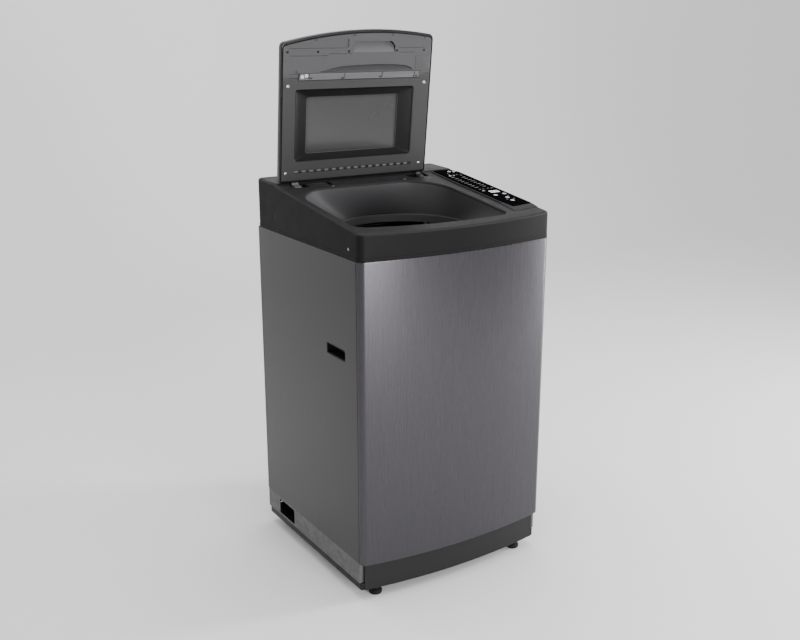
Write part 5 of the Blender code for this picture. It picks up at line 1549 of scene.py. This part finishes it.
FEET = {"front_left": (-0.222, 0.0345), "front_right": (0.222, 0.0345), "rear_left": (-0.222, 0.5100), "rear_right": (0.222, 0.5100)}
for key, (fx, fy) in FEET.items():
    prof = [(0.0, 0.0002), (0.0126, 0.0), (0.0134, 0.0008), (0.0148, 0.0), (0.0160, 0.0006), (0.0169, 0.0022), (0.0170, 0.0048), (0.0166, 0.0054), (0.0170, 0.0060), (0.0170, 0.0086), (0.0160, 0.0100), (0.0124, 0.0126), (0.0118, 0.0132)]
    pad = lathe(prof + [(0.0, 0.0132)], 48, (fx, fy), "z", False)
    nut = skin([[(fx + r * math.cos(math.radians(60 * i + 10)), fy + r * math.sin(math.radians(60 * i + 10)), z) for i in range(6)] for r, z in ((0.0106, 0.0128), (0.0118, 0.0138), (0.0118, 0.0186), (0.0106, 0.0198))])
    st = [(0.0, 0.0190), (0.0046, 0.0190)]
    zz = 0.0202
    while zz < 0.0610:
        st += [(0.0044, zz), (0.0050, zz + 0.0006)]
        zz += 0.0013
    st += [(0.0044, 0.0616), (0.0, 0.0618)]
    merge_into(pad, nut)
    merge_into(pad, lathe(st, 24, (fx, fy), "z", False))
    finish_mesh("levelling_foot_" + key, pad, M["rubber"], "foot_" + key + "_body", ("foot_" + key,), "foot_rubber", smooth=35)

# ================================================================= tub group
N = 128
TR = 0.250
tub = [(0.0215, 0.3960), (TR - 0.0125, 0.3960), (TR - 0.0060, 0.3974), (TR - 0.0018, 0.4015), (TR, 0.4080), (TR, 0.5000), (TR - 0.0002, 0.5006), (TR - 0.0002, 0.5100), (TR, 0.5106), (TR, 0.8380), (TR - 0.0030, 0.8380),
       (TR - 0.0030, 0.4095), (TR - 0.0052, 0.4035), (TR - 0.0135, 0.3990), (0.0215, 0.3990)]
finish_mesh("tub_shell", lathe(tub, 96, (0.0, TUB_Y)), M["tub"], "cabinet", ("outer_tub",), "light_plastic", smooth=30)
ring = [(TR + 0.0024, 0.8384), (TR + 0.0030, 0.8390), (TR + 0.0030, 0.8452), (TR + 0.0020, 0.8462), (0.2200, 0.8482), (0.1920, 0.8499), (0.1880, 0.8492), (0.1862, 0.8464), (0.1872, 0.8446), (0.1900, 0.8440), (0.2200, 0.8420), (TR - 0.0040, 0.8384)]
finish_mesh("tub_collar", lathe(ring, N, (0.0, TUB_Y)), M["ring"], "cabinet", ("tub_ring",), "black_plastic", smooth=35)
BR = 0.232
bal = [(BR + 0.0034, 0.7884), (BR + 0.0040, 0.7892), (BR + 0.0040, 0.8288), (BR + 0.0030, 0.8301), (0.2160, 0.8316), (0.2020, 0.8320), (0.1962, 0.8300), (0.1928, 0.8262), (0.1920, 0.8225), (0.1928, 0.8120), (0.1945, 0.8010), (0.1968, 0.7950), (0.2020, 0.7905), (0.2100, 0.7884)]
finish_mesh("balance_hoop", lathe(bal, N, (0.0, TUB_Y)), M["ring_light"], "basket", ("balance_ring",), "light_plastic", smooth=35)
bb_ = [(0.0350, 0.4200), (0.1200, 0.4200), (BR - 0.0026, 0.4318), (BR - 0.0020, 0.4326), (BR - 0.0020, 0.4694), (BR - 0.0026, 0.4700), (BR - 0.0036, 0.4700), (BR - 0.0042, 0.4694), (0.2200, 0.4580), (0.2100, 0.4470), (0.2000, 0.4402), (0.1880, 0.4368), (0.1200, 0.4300), (0.0350, 0.4300)]
finish_mesh("basket_floor", lathe(bb_, N, (0.0, TUB_Y)), M["ring"], "basket", ("basket_base",), "light_plastic", smooth=35)

# basket wall: stainless sheet with rows of drain holes
b = bmesh.new()
NC, NR = 84, 22
zb0, zb1 = 0.4310, 0.7876
r_o, r_i = BR, BR - 0.0012
hole_r = 0.0019
cache = {}


def bv(r, a, z, tag):
    key_ = (tag, round(a * 1e5) % round(2 * math.pi * 1e5), round(z * 1e6))
    if key_ not in cache:
        cache[key_] = b.verts.new((r * math.cos(a), TUB_Y + r * math.sin(a), z))
    return cache[key_]


dz = (zb1 - zb0) / NR
da_ = 2 * math.pi / NC
for row in range(NR):
    z_lo, z_hi = zb0 + dz * row, zb0 + dz * (row + 1)
    for col in range(NC):
        a0_, a1_ = da_ * col, da_ * (col + 1)
        am, zm = (a0_ + a1_) / 2, (z_lo + z_hi) / 2
        holed = (row + col) % 2 == 0 and 0 < row < NR - 1
        corners = [(a0_, z_lo), (am, z_lo), (a1_, z_lo), (a1_, zm), (a1_, z_hi), (am, z_hi), (a0_, z_hi), (a0_, zm)]
        if holed:
            ring_o, ring_i = [], []
            for kk in range(8):
                t = math.radians(-135 + 45 * kk)
                ha, hz = am + hole_r * math.cos(t) / r_o, zm + hole_r * math.sin(t)
                ring_o.append(b.verts.new((r_o * math.cos(ha), TUB_Y + r_o * math.sin(ha), hz)))
                ring_i.append(b.verts.new((r_i * math.cos(ha), TUB_Y + r_i * math.sin(ha), hz)))
            for kk in range(8):
                j = (kk + 1) % 8
                b.faces.new((bv(r_o, *corners[kk], "o"), bv(r_o, *corners[j], "o"), ring_o[j], ring_o[kk]))
                b.faces.new((bv(r_i, *corners[j], "i"), bv(r_i, *corners[kk], "i"), ring_i[kk], ring_i[j]))
                b.faces.new((ring_o[kk], ring_o[j], ring_i[j], ring_i[kk]))
        else:
            b.faces.new([bv(r_o, *c, "o") for c in corners])
            b.faces.new([bv(r_i, *c, "i") for c in reversed(corners)])
for z in (zb0, zb1):
    for col in range(NC):
        for a_, c_ in ((da_ * col, da_ * (col + 0.5)), (da_ * (col + 0.5), da_ * (col + 1))):
            b.faces.new((bv(r_o, a_, z, "o"), bv(r_o, c_, z, "o"), bv(r_i, c_, z, "i"), bv(r_i, a_, z, "i")))
finish_mesh("basket_wall", b, M["steel"], "basket", ("wash_basket",), "stainless_steel", smooth=40)

# pulsator: dished disc with four curved vanes and a centre cap
b = bmesh.new()
PR_, PZ0, PZ1 = 0.165, 0.4500, 0.4758
NA, NRR = 192, 30


def vane_height(r, a):
    best = 0.0
    for k in range(4):
        c = math.radians(90 * k + 20) + 2.2 * (r - 0.05)
        d = (a - c + math.pi) % (2 * math.pi) - math.pi
        w = 0.020 + 0.020 * (r / PR_)
        s_ = d * r / w
        best = max(best, math.exp(-s_ * s_ * 1.6))
    edge_ = max(0.0, min(1.0, (r - 0.034) / 0.026)) * max(0.0, min(1.0, (0.158 - r) / 0.020))
    return best * edge_ * edge_ * (3 - 2 * edge_)


rows = []
for i in range(NRR + 1):
    r = 0.0300 + (0.1630 - 0.0300) * i / NRR
    basez = 0.4585 - 0.0035 * math.sin(math.pi * (r - 0.03) / 0.133) + 0.0010 * (r / 0.163) ** 6
    rows.append([b.verts.new((r * math.cos(2 * math.pi * k / NA), TUB_Y + r * math.sin(2 * math.pi * k / NA), basez + 0.0150 * vane_height(r, 2 * math.pi * k / NA))) for k in range(NA)])
for a_, c_ in zip(rows, rows[1:]):
    strip(b, a_, c_)
prev = rows[-1]
for r, z in ((0.1642, 0.4592), (0.1650, 0.4580), (0.1650, 0.4516), (0.1640, 0.4502), (0.0300, 0.4500), (0.0090, 0.4500), (0.0090, 0.4490), (0.0, 0.4490)):
    if r == 0.0:
        b.faces.new(prev)
        break
    cur = [b.verts.new((r * math.cos(2 * math.pi * k / NA), TUB_Y + r * math.sin(2 * math.pi * k / NA), z)) for k in range(NA)]
    strip(b, prev, cur)
    prev = cur
prev = rows[0]
for r, z in ((0.0292, 0.4592), (0.0285, 0.4630), (0.0276, 0.4668), (0.0250, 0.4700), (0.0180, 0.4724), (0.0090, 0.4734)):
    cur = [b.verts.new((r * math.cos(2 * math.pi * k / NA), TUB_Y + r * math.sin(2 * math.pi * k / NA), z)) for k in range(NA)]
    strip(b, prev, cur)
    prev = cur
b.faces.new(prev)
finish_mesh("pulsator_disc", b, M["pulsator"], "agitator", ("pulsator",), "light_plastic", smooth=35)

# lint filter cassette with a frame and a grille of slots
b = bmesh.new()
lf = fillet([(-0.0300, 0.2046, 0.001), (0.0300, 0.2046, 0.001), (0.0240, 0.2236, 0.003), (-0.0240, 0.2236, 0.003)], 0, 4)
vs = []
for d, z in ((0.0020, 0.5602), (0.0006, 0.5610), (0.0, 0.5626), (0.0, 0.7374), (0.0006, 0.7390), (0.0020, 0.7398)):
    vs.append([b.verts.new((p[0], TUB_Y + p[1], z)) for p in offset_loop(lf, -d)])
for a_, c_ in zip(vs, vs[1:]):
    strip(b, a_, c_)
b.faces.new(vs[0])
b.faces.new(vs[-1])
finish_mesh("filter_cassette", b, M["ring_light"], "basket", ("lint_filter",), "light_plastic", smooth=35)
b = bmesh.new()
for k in range(12):
    z = 0.580 + 0.0125 * k
    pr_ = rrect(-0.0225, 0.0225, z, z + 0.0052, 0.0022, 4)
    rr = [[b.verts.new((p[0], TUB_Y + yy, p[1])) for p in offset_loop(pr_, -d)] for d, yy in ((0.0, 0.2050), (0.0, 0.2041), (0.0006, 0.2036))]
    for a_, c_ in zip(rr, rr[1:]):
        strip(b, a_, c_)
    b.faces.new(rr[0])
    b.faces.new(rr[-1])
finish_mesh("filter_bars", b, M["ring"], "basket", (), "light_plastic", smooth=35)

# ============================================ parts carried over from the CAD
CARRIED = {"front_brace": "zinc", "rear_brace": "zinc", "tub_carrier": "zinc", "suspension_rod_front_left": "zinc_b", "suspension_rod_front_right": "zinc_b", "suspension_rod_rear_left": "zinc_b",
           "suspension_rod_rear_right": "zinc_b", "gearbox_housing": "alu", "motor_housing": "alu", "drive_belt": "rubber", "drain_pump": "white", "basket_hub": "screw", "pulsator_shaft": "screw",
           "drive_pulley": "alu", "motor_rotor": "screw"}
for node, key in CARRIED.items():
    o = bpy.data.objects.get(node)
    if o is None:
        continue
    o.data.materials.clear()
    o.data.materials.append(M[key])
    wd = o.modifiers.new("weld", "WELD")
    wd.merge_threshold = 0.00001
    bv_ = o.modifiers.new("edge", "BEVEL")
    bv_.width = 0.0004
    bv_.segments = 2
    bv_.limit_method = "ANGLE"
    bv_.angle_limit = math.radians(34)
    wn_ = o.modifiers.new("normals", "WEIGHTED_NORMAL")
    wn_.keep_sharp = True

# ==================================================================== staging
def stage_material(name, col, rough):
    m, nt, bs = new_material(name)
    v = mapped(nt)
    nt.links.new(tint(nt, noise(nt, v, 1.2, 3.0), shade(col, 0.995), col), bs.inputs["Base Color"])
    bs.inputs["Roughness"].default_value = rough
    bs.inputs["Specular IOR Level"].default_value = 0.2
    return m


bm = bmesh.new()
rows = []
prof = [(-9.0, 0.0)] + [(2.6, 0.0)] + [(2.6 + 1.6 * math.sin(math.radians(a)), 1.6 - 1.6 * math.cos(math.radians(a))) for a in range(10, 91, 10)] + [(4.2, 8.0)]
for y, z in prof:
    rows.append([bm.verts.new((x, y, z)) for x in (-9.0, 9.0)])
for a_, c_ in zip(rows, rows[1:]):
    bm.faces.new((a_[0], a_[1], c_[1], c_[0]))
me = bpy.data.meshes.new("studio_floor")
bm.to_mesh(me)
bm.free()
me.shade_smooth()
floor = bpy.data.objects.new("studio_floor", me)
bpy.context.scene.collection.objects.link(floor)
me.materials.append(stage_material("studio_white", (0.93, 0.93, 0.93), 0.9))


def area(name, loc, target, size, energy, size_y=None):
    L = bpy.data.lights.new(name, "AREA")
    L.shape = "RECTANGLE"
    L.size = size
    L.size_y = size_y or size
    L.energy = energy
    o = bpy.data.objects.new(name, L)
    bpy.context.scene.collection.objects.link(o)
    o.location = loc
    o.rotation_euler = (Vector(target) - Vector(loc)).to_track_quat("-Z", "Y").to_euler()
    return o


area("key_front", (0.15, -3.9, 1.0), (0.0, -0.2, 0.75), 1.1, 122, 1.7)
area("strip_right", (2.95, -1.15, 1.0), (0.25, -0.2, 0.6), 0.40, 105, 2.4)
area("top_soft", (0.0, 0.2, 3.6), (0.0, 0.0, 0.8), 2.4, 60, 2.4)

world = bpy.data.worlds.new("studio_world")
bpy.context.scene.world = world
world.use_nodes = True
wnt = world.node_tree
bg = wnt.nodes["Background"]
bg.inputs["Color"].default_value = (1.0, 1.0, 1.0, 1)
bg.inputs["Strength"].default_value = 0.85

cam = bpy.data.cameras.new("camera")
cam.lens = 45.86
cam.sensor_width = 36.0
co = bpy.data.objects.new("camera", cam)
bpy.context.scene.collection.objects.link(co)
co.location = (-1.4098, -2.21185, 1.3933)
co.rotation_euler = (math.radians(73.862), 0.0, math.radians(-32.4386))
bpy.context.scene.camera = co
